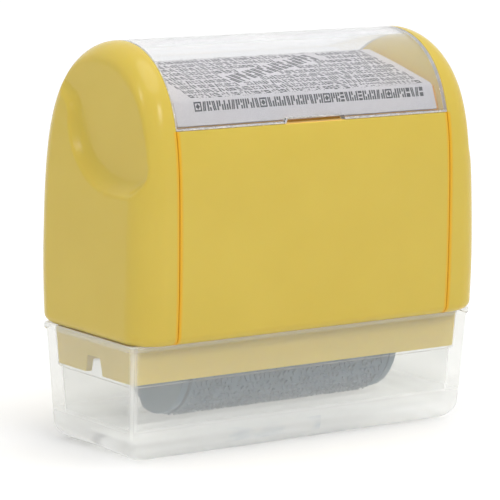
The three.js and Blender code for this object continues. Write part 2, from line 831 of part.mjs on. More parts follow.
function makeInkBlock(side) {
  const xs = [side * plateInner, side * plateOuter].sort((a, b) => a - b);
  const body = block(xs[0], xs[1], -blockHalf, blockHalf, inkAxis - blockHalf, inkAxis + blockHalf);
  return cut(body, rod(inkAxleRadius + fit, xs[0] - overrun, xs[1] + overrun, 0, inkAxis));
}

function makeSpring(side) {
  const xs = [side * plateInner, side * plateOuter].sort((a, b) => a - b);
  const lower = [];
  const upper = [];
  for (let i = 0; i <= archSteps; i += 1) {
    const share = i / archSteps * 2 - 1;
    const y = blockHalf * share;
    const z = springFoot + springBow * (1 - share ** 2);
    lower.push([y, z]);
    upper.unshift([y, z + springThickness]);
  }
  return prismAlongX([...lower, ...upper], xs[0], xs[1]);
}

// The assembly

const stamp = new THREE.Group();

function add(name, solid, material) {
  const mesh = new THREE.Mesh(toGeometry(solid), material);
  mesh.name = name;
  stamp.add(mesh);
}

add('cap', makeCap(), frosted);
add('base_frame', makeBaseFrame(), yellow);
add('left_cheek', makeCheek(-1), yellow);
add('right_cheek', makeCheek(1), yellow);
add('front_panel', makePanel(-1), yellow);
add('rear_panel', makePanel(1), yellow);
add('window', makeWindow(), clear);
add('label_card', makeCard(), paper);
add('label_bed', makeBed(), deepYellow);
add('left_side_plate', makeSidePlate(-1), deepYellow);
add('right_side_plate', makeSidePlate(1), deepYellow);
add('front_tie_bar', makeTieBar(-1), greyPlastic);
add('rear_tie_bar', makeTieBar(1), greyPlastic);
add('print_axle', rod(printAxleRadius, -axleEnd, axleEnd, 0, printAxis), steel);
add('print_drum', makeDrum(), greyPlastic);
add('print_die', makeDie(), rubber);
add('print_flange_left', makePrintFlange(-1), greyPlastic);
add('print_flange_right', makePrintFlange(1), greyPlastic);
add('print_bush_left', makeBush(-1), nylon);
add('print_bush_right', makeBush(1), nylon);
add('ink_axle', rod(inkAxleRadius, -axleEnd, axleEnd, 0, inkAxis), steel);
add('ink_core', makeInkCore(), greyPlastic);
add('ink_sleeve', makeInkSleeve(), felt);
add('ink_cap_left', makeInkCap(-1), greyPlastic);
add('ink_cap_right', makeInkCap(1), greyPlastic);
add('ink_block_left', makeInkBlock(-1), nylon);
add('ink_block_right', makeInkBlock(1), nylon);
add('ink_spring_left', makeSpring(-1), steel);
add('ink_spring_right', makeSpring(1), steel);

export default stamp;
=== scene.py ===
import math
import random

import bmesh
import bpy
import numpy as np
from mathutils import Matrix, Vector


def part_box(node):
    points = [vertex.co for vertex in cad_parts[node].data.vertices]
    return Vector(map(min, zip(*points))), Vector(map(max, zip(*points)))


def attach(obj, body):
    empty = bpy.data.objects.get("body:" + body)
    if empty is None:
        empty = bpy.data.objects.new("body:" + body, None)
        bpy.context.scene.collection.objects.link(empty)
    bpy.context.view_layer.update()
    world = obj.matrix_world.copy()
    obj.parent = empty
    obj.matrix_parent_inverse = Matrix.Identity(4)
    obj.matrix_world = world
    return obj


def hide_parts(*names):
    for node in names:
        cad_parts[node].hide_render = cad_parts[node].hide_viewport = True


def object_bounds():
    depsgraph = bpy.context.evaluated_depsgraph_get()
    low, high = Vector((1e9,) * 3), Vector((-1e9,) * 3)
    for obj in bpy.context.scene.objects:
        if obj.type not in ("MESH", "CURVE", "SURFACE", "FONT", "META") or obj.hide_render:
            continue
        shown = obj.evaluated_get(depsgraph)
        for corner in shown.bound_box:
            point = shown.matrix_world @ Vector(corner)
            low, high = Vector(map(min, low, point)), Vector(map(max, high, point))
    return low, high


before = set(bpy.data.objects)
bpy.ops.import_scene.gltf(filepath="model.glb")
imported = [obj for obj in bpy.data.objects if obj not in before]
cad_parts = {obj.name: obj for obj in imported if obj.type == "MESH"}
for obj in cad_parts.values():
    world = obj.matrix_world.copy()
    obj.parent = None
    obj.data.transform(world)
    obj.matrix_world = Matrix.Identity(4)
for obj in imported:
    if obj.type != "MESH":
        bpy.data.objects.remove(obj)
cad_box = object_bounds()

# Lengths are millimetres, in the frame of the CAD model, and become metres when a piece is made
MM = 0.001

# Camera, as the photograph was taken
CAMERA_PLACE = (-255.16, -366.15, 98.88)
CAMERA_TARGET = (-1.54, 0.54, 27.30)
CAMERA_ROLL = 0.43
CAMERA_LENS = 215.9
CAMERA_SENSOR = 36.0

# Housing
BELLY_RISE = 11.7
FOOT_INSET = 0.45
FOOT_RADIUS = 1.4
ARCH_EXPONENT = 4.2
CHEEK_LEAN = 2.1
CHEEK_LEAN_START = 5.0
CHEEK_FILLET = 4.3
CHEEK_WALL = 1.6
SHELL_WALL = 1.7
PANEL_COLUMN_REACH = 20.0
LEDGE_INSET = 2.0
LEDGE_THICKNESS = 1.2
LEDGE_REACH = 0.75
LEDGE_TOP_DROP = 2.9
POCKET_DEPTH = 8.0
SEAM_ROUND = 0.2
SEAM_GAP = 0.05
# Painted orange glow along the seams, standing for light through the translucent plastic: its width and
# colour
SEAM_PAINTED_GLOW = 0.65
SEAM_PAINTED_GLOW_COLOUR = (0.68, 0.36, 0.02)
# Painted glow on the cheeks' inner faces beside the card: the reach of its mask, its strength and colour
INNER_FACE_REACH = 0.02
INNER_PAINTED_GLOW = 0.24
INNER_PAINTED_GLOW_COLOUR = (1.0, 0.86, 0.45)

# Thumb scoop
SCOOP_DEPTH = 2.45
SCOOP_TILT = 1.2
SCOOP_ACROSS = 13.5
SCOOP_UP = 11.8
SCOOP_FRONT_RADIUS = 7.4
SCOOP_FRONT_SHIFT = 7.0
SCOOP_TOP_DROP = 9.0
SCOOP_FLARE_RADIUS = 3.0
SCOOP_FLARE_START = 10.0
SCOOP_FLARE_TILT = 25.0
SCOOP_CURVE = 1.5
SCOOP_WALL_ANGLE = 60.0
SCOOP_BLEND = 1.9
SCOOP_RIM_SOFTNESS = 0.35
OVERRUN = 2.0

# Pry notch in the window's lower edge
NOTCH_HALF = 5.3
NOTCH_TAPER = 0.3
NOTCH_DEPTH = 0.6
NOTCH_REACH = 1.5

# Window and label
WINDOW_WALL = 1.2
WINDOW_ROUND = 0.12
WINDOW_PIN = 0.5
PIN_EDGE = 0.08
# Painted glow of the window's cut edges, and its colour
EDGE_PAINTED_GLOW = 0.06
EDGE_PAINTED_GLOW_COLOUR = (1.0, 0.93, 0.86)
HINGE_RISE = 0.6
DOWNWARD = -0.5
CARD_GAP = 0.3
CARD_THICKNESS = 0.3
CARD_RAISE = 0.5
CARD_FRONT_RISE = 3.9
CARD_TILT = 15.2
CARD_CREST_SETBACK = 5.5
CARD_BEND_RADIUS = 1.1
CARD_EDGE = 0.06
CARD_COLUMN_REACH = 18.0

# Print on the label
PRINT_LEFT = -19.9
PRINT_RIGHT = 21.9
INK_DEPTH = 0.02
ICON_SHARE = 1.9
BOLD_LOW = 2.0
BOLD_HEIGHT = 1.4
BOLD_PITCH = 0.83
BOLD_WIDTH = 0.66
BOLD_PERIOD = 13
ROWS_LOW = 4.0
ROW_COUNT = 10
ROW_PITCH = 1.78
ROW_HEIGHT = 1.45
ROW_STEP = 0.87
ROW_WIDTH = 0.66
ROW_WIDTH_SHARES = (0.7, 1.45)
BAND_TILT = 21.5
BAND_CENTRE = (1.3, 14.2)
BAND_HALF = 11.2
BAND_HEIGHT = 2.9
BAND_PITCH = 1.36
BAND_WIDTH = 0.9
BAND_CLEAR = 0.5
BAND_SHAPES = 4

# Cap
CAP_WALL = 1.1
CAP_FLOOR = 2.4
CAP_LIP = 0.25
CAP_LIP_HEIGHT = 0.5
CAP_LIP_START = 0.05
CAP_LIP_SHARES = (0.6, 0.8)
CAP_DRAFT_LENGTH = 0.6
CAP_DRAFT_DEPTH = 1.4
CAP_CORNER = 1.4
CAP_FOOT_LENGTH = 3.0
CAP_FOOT_DEPTH = 1.7
CAP_FOOT_HEIGHT = 2.8
CAP_LEDGE = 0.45
CAP_LEDGE_TOP = 11.1
CAP_ARCH_HEIGHT = 0.7
CAP_ARCH_HALF = 6.5
CAP_ARCH_SOFTNESS = 0.15
CAP_EDGE = 0.15
CAP_CLEARNESS = 0.89
CAP_EDGE_CLEARNESS = 0.64
CAP_RIM_CLEARNESS = 0.74
# Painted glow in the cap's lower part, standing for light in its thick floor: strength, colour and the height
# where it ends
CAP_PAINTED_GLOW = 0.052
CAP_PAINTED_GLOW_COLOUR = (1.0, 1.0, 0.98)
CAP_PAINTED_GLOW_END = 10.0
CAP_RIM_RISE = 0.5
CAP_FLOOR_CLEARNESS = 0.58
CAP_CLEAR_FROM = 7.0
FLATNESS_SPAN = (0.78, 0.98)
SMUDGE_CENTRE = (-5.0, 2.4)
SMUDGE_REACH = (8.5, 1.1)
SMUDGE_DEPTH = 2.0
SMUDGE_SPAN = (0.45, 0.75)

# Print roller
DIE_BASE = 1.1
DIE_RELIEF = 0.28
DIE_EDGE = 0.1
DIE_MARGIN = 0.6
DIE_ROWS = 40
DIE_MARK_WIDTH = 0.66
DIE_MARK_GAP = 0.22
DIE_MARK_ROOT = 0.1
DIE_MARK_SINK = 0.02
DIE_MARK_SHARE = 0.7
DIE_GROUP = 12
DIE_PAUSE = 0.7

# Colours, each as the two ends of its mottling; the cap's second one is that of its ink marks
HOUSING_COLOURS = ((0.55, 0.41, 0.067), (0.565, 0.425, 0.072))
# The skirt's yellow, painted lighter than the housing's to make up for the shade inside the cap
SKIRT_BRIGHTENED_COLOURS = ((0.67, 0.50, 0.05), (0.70, 0.52, 0.055))
# A deeper orange copy of the housing's yellow for the label bed and side plates, painted to stand for the
# warm shade beside the card
INNER_SHADE_COLOURS = ((0.80, 0.40, 0.04), (0.84, 0.43, 0.05))
GREY_COLOURS = ((0.09, 0.155, 0.21), (0.11, 0.18, 0.24))
NYLON_COLOURS = ((0.62, 0.61, 0.56), (0.68, 0.67, 0.62))
CAP_COLOURS = ((0.88, 0.885, 0.87), (0.66, 0.71, 0.76))
WINDOW_COLOURS = ((0.97, 0.98, 1.0), (1.0, 1.0, 1.0))
RIM_COLOURS = ((0.70, 0.70, 0.71), (0.77, 0.77, 0.78))
CARD_COLOURS = ((0.66, 0.64, 0.665), (0.71, 0.69, 0.715))
INK_COLOURS = ((0.012, 0.014, 0.022), (0.03, 0.034, 0.05))
RUBBER_COLOURS = ((0.075, 0.13, 0.185), (0.115, 0.18, 0.245))
FELT_COLOURS = ((0.008, 0.01, 0.016), (0.035, 0.042, 0.06))
STEEL_COLOURS = ((0.52, 0.53, 0.54), (0.66, 0.67, 0.68))
SPRING_COLOURS = ((0.46, 0.47, 0.50), (0.60, 0.61, 0.63))
FLOOR_COLOURS = ((0.84, 0.84, 0.84), (0.86, 0.86, 0.86))

# Depth of each surface's fine relief
PLASTIC_GRAIN = 0.0015
FROST_GRAIN = 0.002
CARD_GRAIN = 0.006
INK_GRAIN = 0.004
RUBBER_GRAIN = 0.01
FELT_GRAIN = 0.12
STEEL_GRAIN = 0.002
SPRING_GRAIN = 0.003

# Depth that light reaches into the translucent plastic, and the share of each colour
GLOW_DEPTH = 2.5
GLOW_SHARES = (1.0, 0.5, 0.12)

# Light and floor
WORLD_BRIGHT_SIDE = (0.8, 0.6, 0.0)
WORLD_STRENGTHS = (0.64, 0.95)
WORLD_SPAN = (-0.2, 0.5)
SKY_DIRECTION = (0.05, -0.2, 1.0)
SKY_SPREAD = 50.0
SKY_BRIGHTNESS = 0.5
SOFTBOXES = {
    "front": ((20, -420, 330), (0, 0, 40), 110.0, 11.0),
    "left": ((-340, -90, 350), (-25, 0, 45), 80.0, 9.0),
}
FLOOR_HALF = 3000.0
FLOOR_LINES = 13

# Rounded edges, and the degrees from which an edge is sharp and up to which a face is flat
SHARP_ANGLE = 35.0
FLAT_ANGLE = 0.5
EDGE_SEGMENTS = 2
NORMAL_WEIGHT = 50

# How finely the curved pieces are divided
ARCH_ROWS = 110
WALL_ROWS = 12
FOOT_ROWS = 6
WALL_COLUMNS = 3
FACE_COLUMNS = 84
FILLET_COLUMNS = 22
INNER_COLUMNS = 12
ROUND_STEPS = 3
SCOOP_STEPS = 48
CAP_END_POINTS = 44
CAP_SIDE_POINTS = 40
CAP_CORNER_POINTS = 8
CAP_FOOT_RINGS = 12
CAP_BOTTOM_RINGS = 22
CAP_WALL_RINGS = 7
PANEL_COLUMNS = 9
CARD_COLUMNS = 7
BEND_STEPS = 8
DISC_STEPS = 7
PIN_SIDES = 24
DIE_SIDES = 96


def box_mm(node):
    low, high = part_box(node)
    return low / MM, high / MM


HALF_LENGTH, HALF_DEPTH, TOP = cad_box[1] / MM
CHEEK_LOW = box_mm("right_cheek")[0]
WINDOW_LOW, WINDOW_HIGH = box_mm("window")
CAP_HIGH = box_mm("cap")[1]
CARD_HIGH = box_mm("label_card")[1]
DIE_LOW, DIE_HIGH = box_mm("print_die")
HOUSING_BOTTOM = CHEEK_LOW.z
BELLY_HEIGHT = HOUSING_BOTTOM + BELLY_RISE
RISE = TOP - BELLY_HEIGHT
SILL = box_mm("front_panel")[1].z
WINDOW_FOOT = SILL + SEAM_GAP
CHEEK_INNER = CHEEK_LOW.x + LEDGE_REACH
HALF_PANEL = CHEEK_INNER - SEAM_GAP
CAP_TOP = CAP_HIGH.z


# Meshes

def add_piece(name, shell, body, look, nodes=()):
    """A piece from a shell in millimetres, smooth but for its sharp edges, that rides on a body."""
    mesh = shell.mesh(name)
    build = bmesh.new()
    build.from_mesh(mesh)
    bmesh.ops.remove_doubles(build, verts=build.verts, dist=MM * MM)
    bmesh.ops.dissolve_degenerate(build, edges=build.edges, dist=MM * MM)
    bmesh.ops.recalc_face_normals(build, faces=build.faces)
    build.to_mesh(mesh)
    build.free()
    mesh.shade_smooth()
    mesh.set_sharp_from_angle(angle=math.radians(SHARP_ANGLE))
    mesh.materials.append(look.material)
    piece = add_object(name, mesh)
    weigh_normals(piece)
    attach(piece, body)
    if nodes:
        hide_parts(*nodes)
    return piece


def add_object(name, data):
    added = bpy.data.objects.new(name, data)
    bpy.context.scene.collection.objects.link(added)
    return added


def weigh_normals(piece):
    weigh = piece.modifiers.new("weighted_normals", "WEIGHTED_NORMAL")
    weigh.keep_sharp = True
    weigh.weight = NORMAL_WEIGHT


class Shell:
    """Points and faces of one piece, gathered part by part."""

    def __init__(self):
        self.vertices = []
        self.faces = []

    def rows(self, rows, closed=False):
        """Quads between rows of equal length, which may each be a closed ring."""
        start = len(self.vertices)
        count = len(rows[0])
        for row in rows:
            self.vertices.extend(tuple(point) for point in row)
        across = count if closed else count - 1
        for j in range(len(rows) - 1):
            for i in range(across):
                a = start + j * count + i
                b = start + j * count + (i + 1) % count
                self.faces.append((a, b, b + count, a + count))

    def cover(self, loop):
        """One flat face over a loop of points."""
        start = len(self.vertices)
        self.vertices.extend(tuple(point) for point in loop)
        self.faces.append(tuple(range(start, start + len(loop))))

    def tube_rows(self, rings):
        """Closed rings joined in order, with a face over each end."""
        self.rows(rings, closed=True)
        self.cover(rings[0])
        self.cover(rings[-1])

    def mesh(self, name):
        """The gathered faces as a mesh in metres."""
        mesh = bpy.data.meshes.new(name)
        mesh.from_pydata([Vector(point) * MM for point in self.vertices], [], self.faces)
        return mesh


def smooth_min(a, b, softness):
    share = np.clip(0.5 + 0.5 * (b - a) / softness, 0, 1)
    return b * (1 - share) + a * share - softness * share * (1 - share)


def spread(start, end, count):
    """Numbers from start towards end, without the end."""
    return [start + (end - start) * i / count for i in range(count)]


def quarter_turn(steps):
    """Angles through a quarter turn."""
    return spread(0, math.pi / 2, steps) + [math.pi / 2]


def round_steps(radius):
    """Steps of a rounded end: how far in from the end, and how much narrower there."""
    turns = quarter_turn(ROUND_STEPS)
    return [(radius * (1 - math.cos(turn)), radius * (1 - math.sin(turn))) for turn in turns]


def narrowed(loop, inset):
    """A closed outline of (y, z) moved inwards."""
    points = np.array(loop)
    along = np.roll(points, -1, axis=0) - np.roll(points, 1, axis=0)
    normals = np.stack([along[:, 1], -along[:, 0]], axis=1)
    normals /= np.linalg.norm(normals, axis=1)[:, None]
    following = np.roll(points, -1, axis=0)
    area = np.sum(points[:, 0] * following[:, 1] - following[:, 0] * points[:, 1])
    return points - normals * inset * (1 if area > 0 else -1)


def add_prism(shell, loop, half, radius, columns=()):
    """An outline of (y, z) drawn out along X from -half to half, with rounded ends."""
    stations = [(-half + along, inset) for along, inset in round_steps(radius)]
    stations += [(x, 0.0) for x in columns]
    stations += [(half - along, inset) for along, inset in reversed(round_steps(radius))]
    rings = [[(x, y, z) for y, z in narrowed(loop, inset)] for x, inset in stations]
    shell.tube_rows(rings)


def arc(u, v, radius, start, end, steps, squash=1.0):
    """Points along an arc about (u, v), from one angle to another, squashed in v by a share."""
    turns = spread(start, end, steps) + [end]
    return [(u + radius * math.cos(turn), v + radius * squash * math.sin(turn)) for turn in turns]


def add_pin(shell, x_from, x_to, y, z):
    """A pin along X with slightly broken edges."""
    rings = []
    stations = ((x_from, PIN_EDGE), (x_from + PIN_EDGE, 0.0), (x_to - PIN_EDGE, 0.0), (x_to, PIN_EDGE))
    for x, inset in stations:
        rings.append([(x, *point) for point in arc(y, z, WINDOW_PIN - inset, 0, math.tau, PIN_SIDES)[:-1]])
    shell.tube_rows(rings)


# Housing profile

def half_depth_at(z):
    if z < BELLY_HEIGHT:
        return HALF_DEPTH - FOOT_INSET * ((BELLY_HEIGHT - z) / BELLY_RISE) ** 2
    share = min((z - BELLY_HEIGHT) / RISE, 1.0)
    return HALF_DEPTH * math.sqrt(max(1.0 - share ** ARCH_EXPONENT, 0.0))


def foot_rounding(z):
    below = min(HOUSING_BOTTOM + FOOT_RADIUS - z, FOOT_RADIUS)
    return FOOT_RADIUS - math.sqrt(FOOT_RADIUS ** 2 - below ** 2) if below > 0 else 0.0


def cheek_half_length(z):
    start = HOUSING_BOTTOM + CHEEK_LEAN_START
    share = max(z - start, 0.0) / (TOP - start)
    return HALF_LENGTH - CHEEK_LEAN * share ** 2 - foot_rounding(z)


def arch_point(share, inset=0.0):
    """A point of the rear half of the arch at a share of its rise, set in along its normal."""
    y = HALF_DEPTH * math.sqrt(max(1.0 - share ** ARCH_EXPONENT, 0.0))
    steepness = ARCH_EXPONENT * share ** (ARCH_EXPONENT - 1) / RISE
    normal = Vector((2 * y / HALF_DEPTH ** 2, steepness)).normalized()
    return y - normal.x * inset, BELLY_HEIGHT + RISE * share - normal.y * inset


def arch_shares(z_from):
    """Shares of the rise from a height to the crest, closer together towards the crest."""
    first = math.asin((z_from - BELLY_HEIGHT) / RISE)
    return [math.sin(first + (math.pi / 2 - first) * i / ARCH_ROWS) for i in range(ARCH_ROWS + 1)]


def foot_levels():
    """Heights through the rounded foot, closer together at the bottom."""
    turns = quarter_turn(FOOT_ROWS)[:-1]
    return [HOUSING_BOTTOM + FOOT_RADIUS * (1 - math.cos(turn)) for turn in turns]


def side_profile(inset=0.0):
    """The rear half of the housing outline, from foot to crest, as (y, z, height on the outline)."""
    points = [(half_depth_at(z) - foot_rounding(z) - inset, z, z) for z in foot_levels()]
    for z in spread(HOUSING_BOTTOM + FOOT_RADIUS, BELLY_HEIGHT, WALL_ROWS):
        points.append((half_depth_at(z) - inset, z, z))
    for share in arch_shares(BELLY_HEIGHT):
        points.append((*arch_point(share, inset), BELLY_HEIGHT + RISE * share))
    return points


# Cheeks

def scoop_path():
    """Outline of the scoop in (y, z)."""
    rear = HALF_DEPTH + OVERRUN
    top = TOP + OVERRUN
    centre_z = TOP - SCOOP_TOP_DROP
    path = [(-rear, top)]
    corner_y = SCOOP_FRONT_RADIUS - rear
    corner_z = centre_z - SCOOP_UP + SCOOP_FRONT_RADIUS
    path += arc(corner_y, corner_z, SCOOP_FRONT_RADIUS, math.pi, math.pi * 3 / 2, SCOOP_STEPS)
    start = -math.radians(SCOOP_FLARE_START)
    squash = SCOOP_UP / SCOOP_ACROSS
    path += arc(-SCOOP_FRONT_SHIFT, centre_z, SCOOP_ACROSS, -math.pi / 2, start, SCOOP_STEPS, squash)

    # The flare, which turns the other way
    slope = Vector((math.cos(start) / SCOOP_ACROSS, math.sin(start) / SCOOP_UP)).normalized()
    flare_y = path[-1][0] + SCOOP_FLARE_RADIUS * slope.x
    flare_z = path[-1][1] + SCOOP_FLARE_RADIUS * slope.y
    begin = math.atan2(slope.y, slope.x)
    tilt = math.radians(SCOOP_FLARE_TILT)
    path += arc(flare_y, flare_z, -SCOOP_FLARE_RADIUS, begin, tilt - math.pi / 2, SCOOP_STEPS)[1:]
    y, z = path[-1]
    return np.array(path + [(rear, z + (rear - y) * math.tan(tilt)), (rear, top)])


def signed_distance(points, path):
    """Distance of (y, z) points from a closed path, negative inside it."""
    ends = np.roll(path, -1, axis=0)
    nearest = np.full(len(points), np.inf)
    inside = np.zeros(len(points), bool)
    for a, b in zip(path, ends):
        along = b - a
        share = np.clip((points - a) @ along / max(along @ along, MM * MM), 0, 1)
        away = points - (a + share[:, None] * along)
        nearest = np.minimum(nearest, np.linalg.norm(away, axis=1))
        crosses = (a[1] > points[:, 1]) != (b[1] > points[:, 1])
        if crosses.any():
            at = a[0] + (points[:, 1] - a[1]) / (b[1] - a[1]) * along[0]
            inside ^= crosses & (points[:, 0] < at)
    return np.where(inside, -nearest, nearest)


def scoop_surface(y, z):
    """How far out the scoop's surface lies, at points of an end face."""
    shape = y.shape
    points = np.stack([y.ravel(), z.ravel()], axis=1)
    reach = np.maximum(signed_distance(points, scoop_path()) + SCOOP_BLEND, 0).reshape(shape)
    steepest = math.tan(math.radians(SCOOP_WALL_ANGLE))
    curved = np.minimum(reach, steepest * SCOOP_CURVE)
    rise = curved ** 2 / (2 * SCOOP_CURVE) + steepest * (reach - curved)
    return HALF_LENGTH - SCOOP_DEPTH - math.tan(math.radians(SCOOP_TILT)) * y + rise


def cheek_slice(edge_rows, fillet_rows, k):
    """One level of a cheek as a closed ring: front edge, fillet, face, rear fillet, rear edge, inner wall."""
    front = []
    for (along, inset), profile in zip(round_steps(SEAM_ROUND), edge_rows):
        front.append((CHEEK_INNER + along, *profile[k][:2]))
    y, z, height = fillet_rows[0][k]
    length = cheek_half_length(height)
    for x in spread(CHEEK_INNER + SEAM_ROUND, length - CHEEK_FILLET, WALL_COLUMNS)[1:]:
        front.append((x, y, z))
    for turn, profile in zip(quarter_turn(FILLET_COLUMNS), fillet_rows):
        front.append((length - CHEEK_FILLET * (1 - math.sin(turn)), *profile[k][:2]))
    x, y, z = front[-1]
    face = [(x, across, z) for across in spread(-y, y, FACE_COLUMNS)[1:]]
    x, y, z = front[0]
    inner = [(x, across, z) for across in spread(y, -y, INNER_COLUMNS)[1:]]
    mirrored = [(x, -y, z) for x, y, z in front]
    return mirrored + face + front[::-1] + inner


def make_cheek(side, name, look):
    edge_rows = [side_profile(inset) for along, inset in round_steps(SEAM_ROUND)]
    turns = quarter_turn(FILLET_COLUMNS)
    fillet_rows = [side_profile(CHEEK_FILLET * (1 - math.cos(turn))) for turn in turns]
    count = len(fillet_rows[0])
    grid = np.array([cheek_slice(edge_rows, fillet_rows, k) for k in range(count)])
    x, y, z = grid[..., 0], grid[..., 1], grid[..., 2]
    grid[..., 0] = np.minimum(x, smooth_min(x, scoop_surface(y, z), SCOOP_RIM_SOFTNESS))

    # The hollow, open at the bottom
    pocket = grid[0].copy()
    outer_wall = HALF_LENGTH - FOOT_RADIUS - CHEEK_WALL
    deep = HALF_DEPTH - FOOT_INSET - FOOT_RADIUS - CHEEK_WALL
    pocket[:, 0] = np.clip(pocket[:, 0], CHEEK_INNER + CHEEK_WALL, outer_wall)
    pocket[:, 1] = np.clip(pocket[:, 1], -deep, deep)
    roof = pocket.copy()
    roof[:, 2] += POCKET_DEPTH
    grid = np.concatenate([[roof, pocket], grid])
    grid[..., 0] *= side

    shell = Shell()
    shell.rows(grid.tolist(), closed=True)
    shell.cover(grid[0].tolist())
    add_ledge(shell, side, -1)
    add_ledge(shell, side, 1)
    add_piece(name, shell, "housing", look, (name,))


def add_ledge(shell, side, end):
    """The strip behind one panel, from the foot up to the label bed."""
    tip = CHEEK_INNER - LEDGE_REACH
    root = CHEEK_INNER + CHEEK_WALL / 2
    edge = SEAM_ROUND / 2
    corners = [(root, 0.0), (tip + edge, 0.0), (tip, edge), (tip, LEDGE_THICKNESS - edge),
               (tip + edge, LEDGE_THICKNESS), (root, LEDGE_THICKNESS)]
    rings = []
    for z in np.linspace(HOUSING_BOTTOM, SILL - LEDGE_TOP_DROP, WALL_ROWS * 2):
        face = half_depth_at(z) - LEDGE_INSET
        rings.append([(side * x, end * (face - depth), z) for x, depth in corners])
    shell.tube_rows(rings)


# Panels

def panel_loop(side):
    """The outline of a panel's wall in (y, z), on the front or rear side."""
    outer = [(half_depth_at(z) - foot_rounding(z), z) for z in foot_levels()]
    for z in spread(HOUSING_BOTTOM + FOOT_RADIUS, SILL - SEAM_ROUND, WALL_ROWS * 2):
        outer.append((half_depth_at(z), z))
    for along, inset in reversed(round_steps(SEAM_ROUND)):
        outer.append((half_depth_at(SILL - along) - inset, SILL - along))
    heights = [z for y, z in outer]
    inner = [(half_depth_at(z) - SHELL_WALL, z) for z in reversed(heights)]
    return [(side * y, z) for y, z in outer + inner]


def make_panel(side, name, look):
    shell = Shell()
    columns = np.linspace(-PANEL_COLUMN_REACH, PANEL_COLUMN_REACH, PANEL_COLUMNS)
    add_prism(shell, panel_loop(side), HALF_PANEL, SEAM_ROUND, columns)
    add_piece(name, shell, "housing", look, (name,))


# Window

def window_loop():
    """The outline of the window's wall in (y, z) with its hinge bead, and the place of the hinge."""
    hinge_z = WINDOW_LOW.z + HINGE_RISE
    hinge_y = half_depth_at(hinge_z) - WINDOW_WALL / 2
    shares = arch_shares(hinge_z)
    outer = [arch_point(share) for share in shares]
    inner = [point for point in (arch_point(share, WINDOW_WALL) for share in shares) if point[1] > hinge_z]
    foot = half_depth_at(WINDOW_FOOT)
    loop = [(-foot + WINDOW_ROUND, WINDOW_FOOT), (-foot, WINDOW_FOOT + WINDOW_ROUND)]
    loop += [(-y, z) for y, z in outer[:-1]] + outer[::-1]
    loop += arc(hinge_y, hinge_z, HINGE_RISE, 0, -math.pi, ROUND_STEPS * 4)[1:-1]
    loop += [(hinge_y - HINGE_RISE, hinge_z)] + inner
    loop += [(-y, z) for y, z in reversed(inner[:-1])]
    loop += [(-foot + WINDOW_WALL, WINDOW_FOOT + WINDOW_ROUND)]
    loop += [(-foot + WINDOW_WALL - WINDOW_ROUND, WINDOW_FOOT)]
    return loop, hinge_y, hinge_z


def notched(x, y, z):
    """A point of the window's front edge, raised along the pry notch."""
    across = min(max((NOTCH_HALF - abs(x)) / NOTCH_TAPER, 0.0), 1.0)
    share = max(1 - (z - WINDOW_FOOT) / NOTCH_REACH, 0.0)
    if y > 0 or not across * share:
        return x, y, z
    raised = z + NOTCH_DEPTH * across * share
    return x, y + half_depth_at(z) - half_depth_at(raised), raised


def make_window(look, rim_look):
    shell = Shell()
    loop, hinge_y, hinge_z = window_loop()
    narrow = NOTCH_HALF - NOTCH_TAPER
    corners = [NOTCH_HALF + WINDOW_ROUND, NOTCH_HALF, narrow, narrow - WINDOW_ROUND]
    add_prism(shell, loop, HALF_PANEL, WINDOW_ROUND, [-x for x in corners] + corners[::-1])
    shell.vertices = [notched(*point) for point in shell.vertices]
    for side in (-1, 1):
        ends = sorted((side * (HALF_PANEL - WINDOW_WALL / 2), side * WINDOW_HIGH.x))
        add_pin(shell, *ends, hinge_y, hinge_z)
    piece = add_piece("window", shell, "window", look, ("window",))
    piece.data.materials.append(rim_look.material)
    for face in piece.data.polygons:
        x, y, z = face.center / MM
        low_edge = face.normal.z < DOWNWARD and y < 0 and z < WINDOW_FOOT + NOTCH_REACH
        if low_edge or abs(x) > HALF_PANEL - WINDOW_ROUND / 2:
            face.material_index = 1


# Label card

def card_corners():
    """The corners of the card's upper side in (y, z), from its front foot over the crest to the rear."""
    inset = WINDOW_WALL + CARD_GAP
    share = (WINDOW_LOW.z + CARD_RAISE - BELLY_HEIGHT) / RISE
    front = arch_point(share, inset)
    bend = arch_point(share + CARD_FRONT_RISE / RISE, inset)
    slope = math.tan(math.radians(CARD_TILT))
    crest = (CARD_CREST_SETBACK, bend[1] + slope * (CARD_CREST_SETBACK + bend[0]))
    return [Vector((-front[0], front[1])), Vector((-bend[0], bend[1])), Vector(crest), Vector(front)]


def rounded_line(corners, radius):
    """An open line with its inner corners rounded."""
    line = [corners[0]]
    for before, corner, after in zip(corners, corners[1:], corners[2:]):
        back = (before - corner).normalized()
        on = (after - corner).normalized()
        half = back.angle(on) / 2
        reach = radius / math.tan(half)
        middle = (back + on).normalized() * (radius / math.sin(half)) + corner
        start = corner + back * reach - middle
        end = corner + on * reach - middle
        sweep = start.angle_signed(end)
        for i in range(BEND_STEPS + 1):
            line.append(middle + Matrix.Rotation(-sweep * i / BEND_STEPS, 2) @ start)
    return line + [corners[-1]]


def line_normals(line):
    normals = []
    for i, point in enumerate(line):
        along = line[min(i + 1, len(line) - 1)] - line[max(i - 1, 0)]
        normals.append(Vector((-along.y, along.x)).normalized())
    return normals


def make_card(look):
    line = rounded_line(card_corners(), CARD_BEND_RADIUS)
    below = [p - n * CARD_THICKNESS for p, n in zip(line, line_normals(line))]
    loop = [tuple(p) for p in line] + [tuple(p) for p in reversed(below)]
    shell = Shell()
    columns = np.linspace(-CARD_COLUMN_REACH, CARD_COLUMN_REACH, CARD_COLUMNS)
    add_prism(shell, loop, CARD_HIGH.x, CARD_EDGE, columns)
    add_piece("label_card", shell, "housing", look, ("label_card",))


# Marks: small generic shapes, each a list of outlines in a unit square

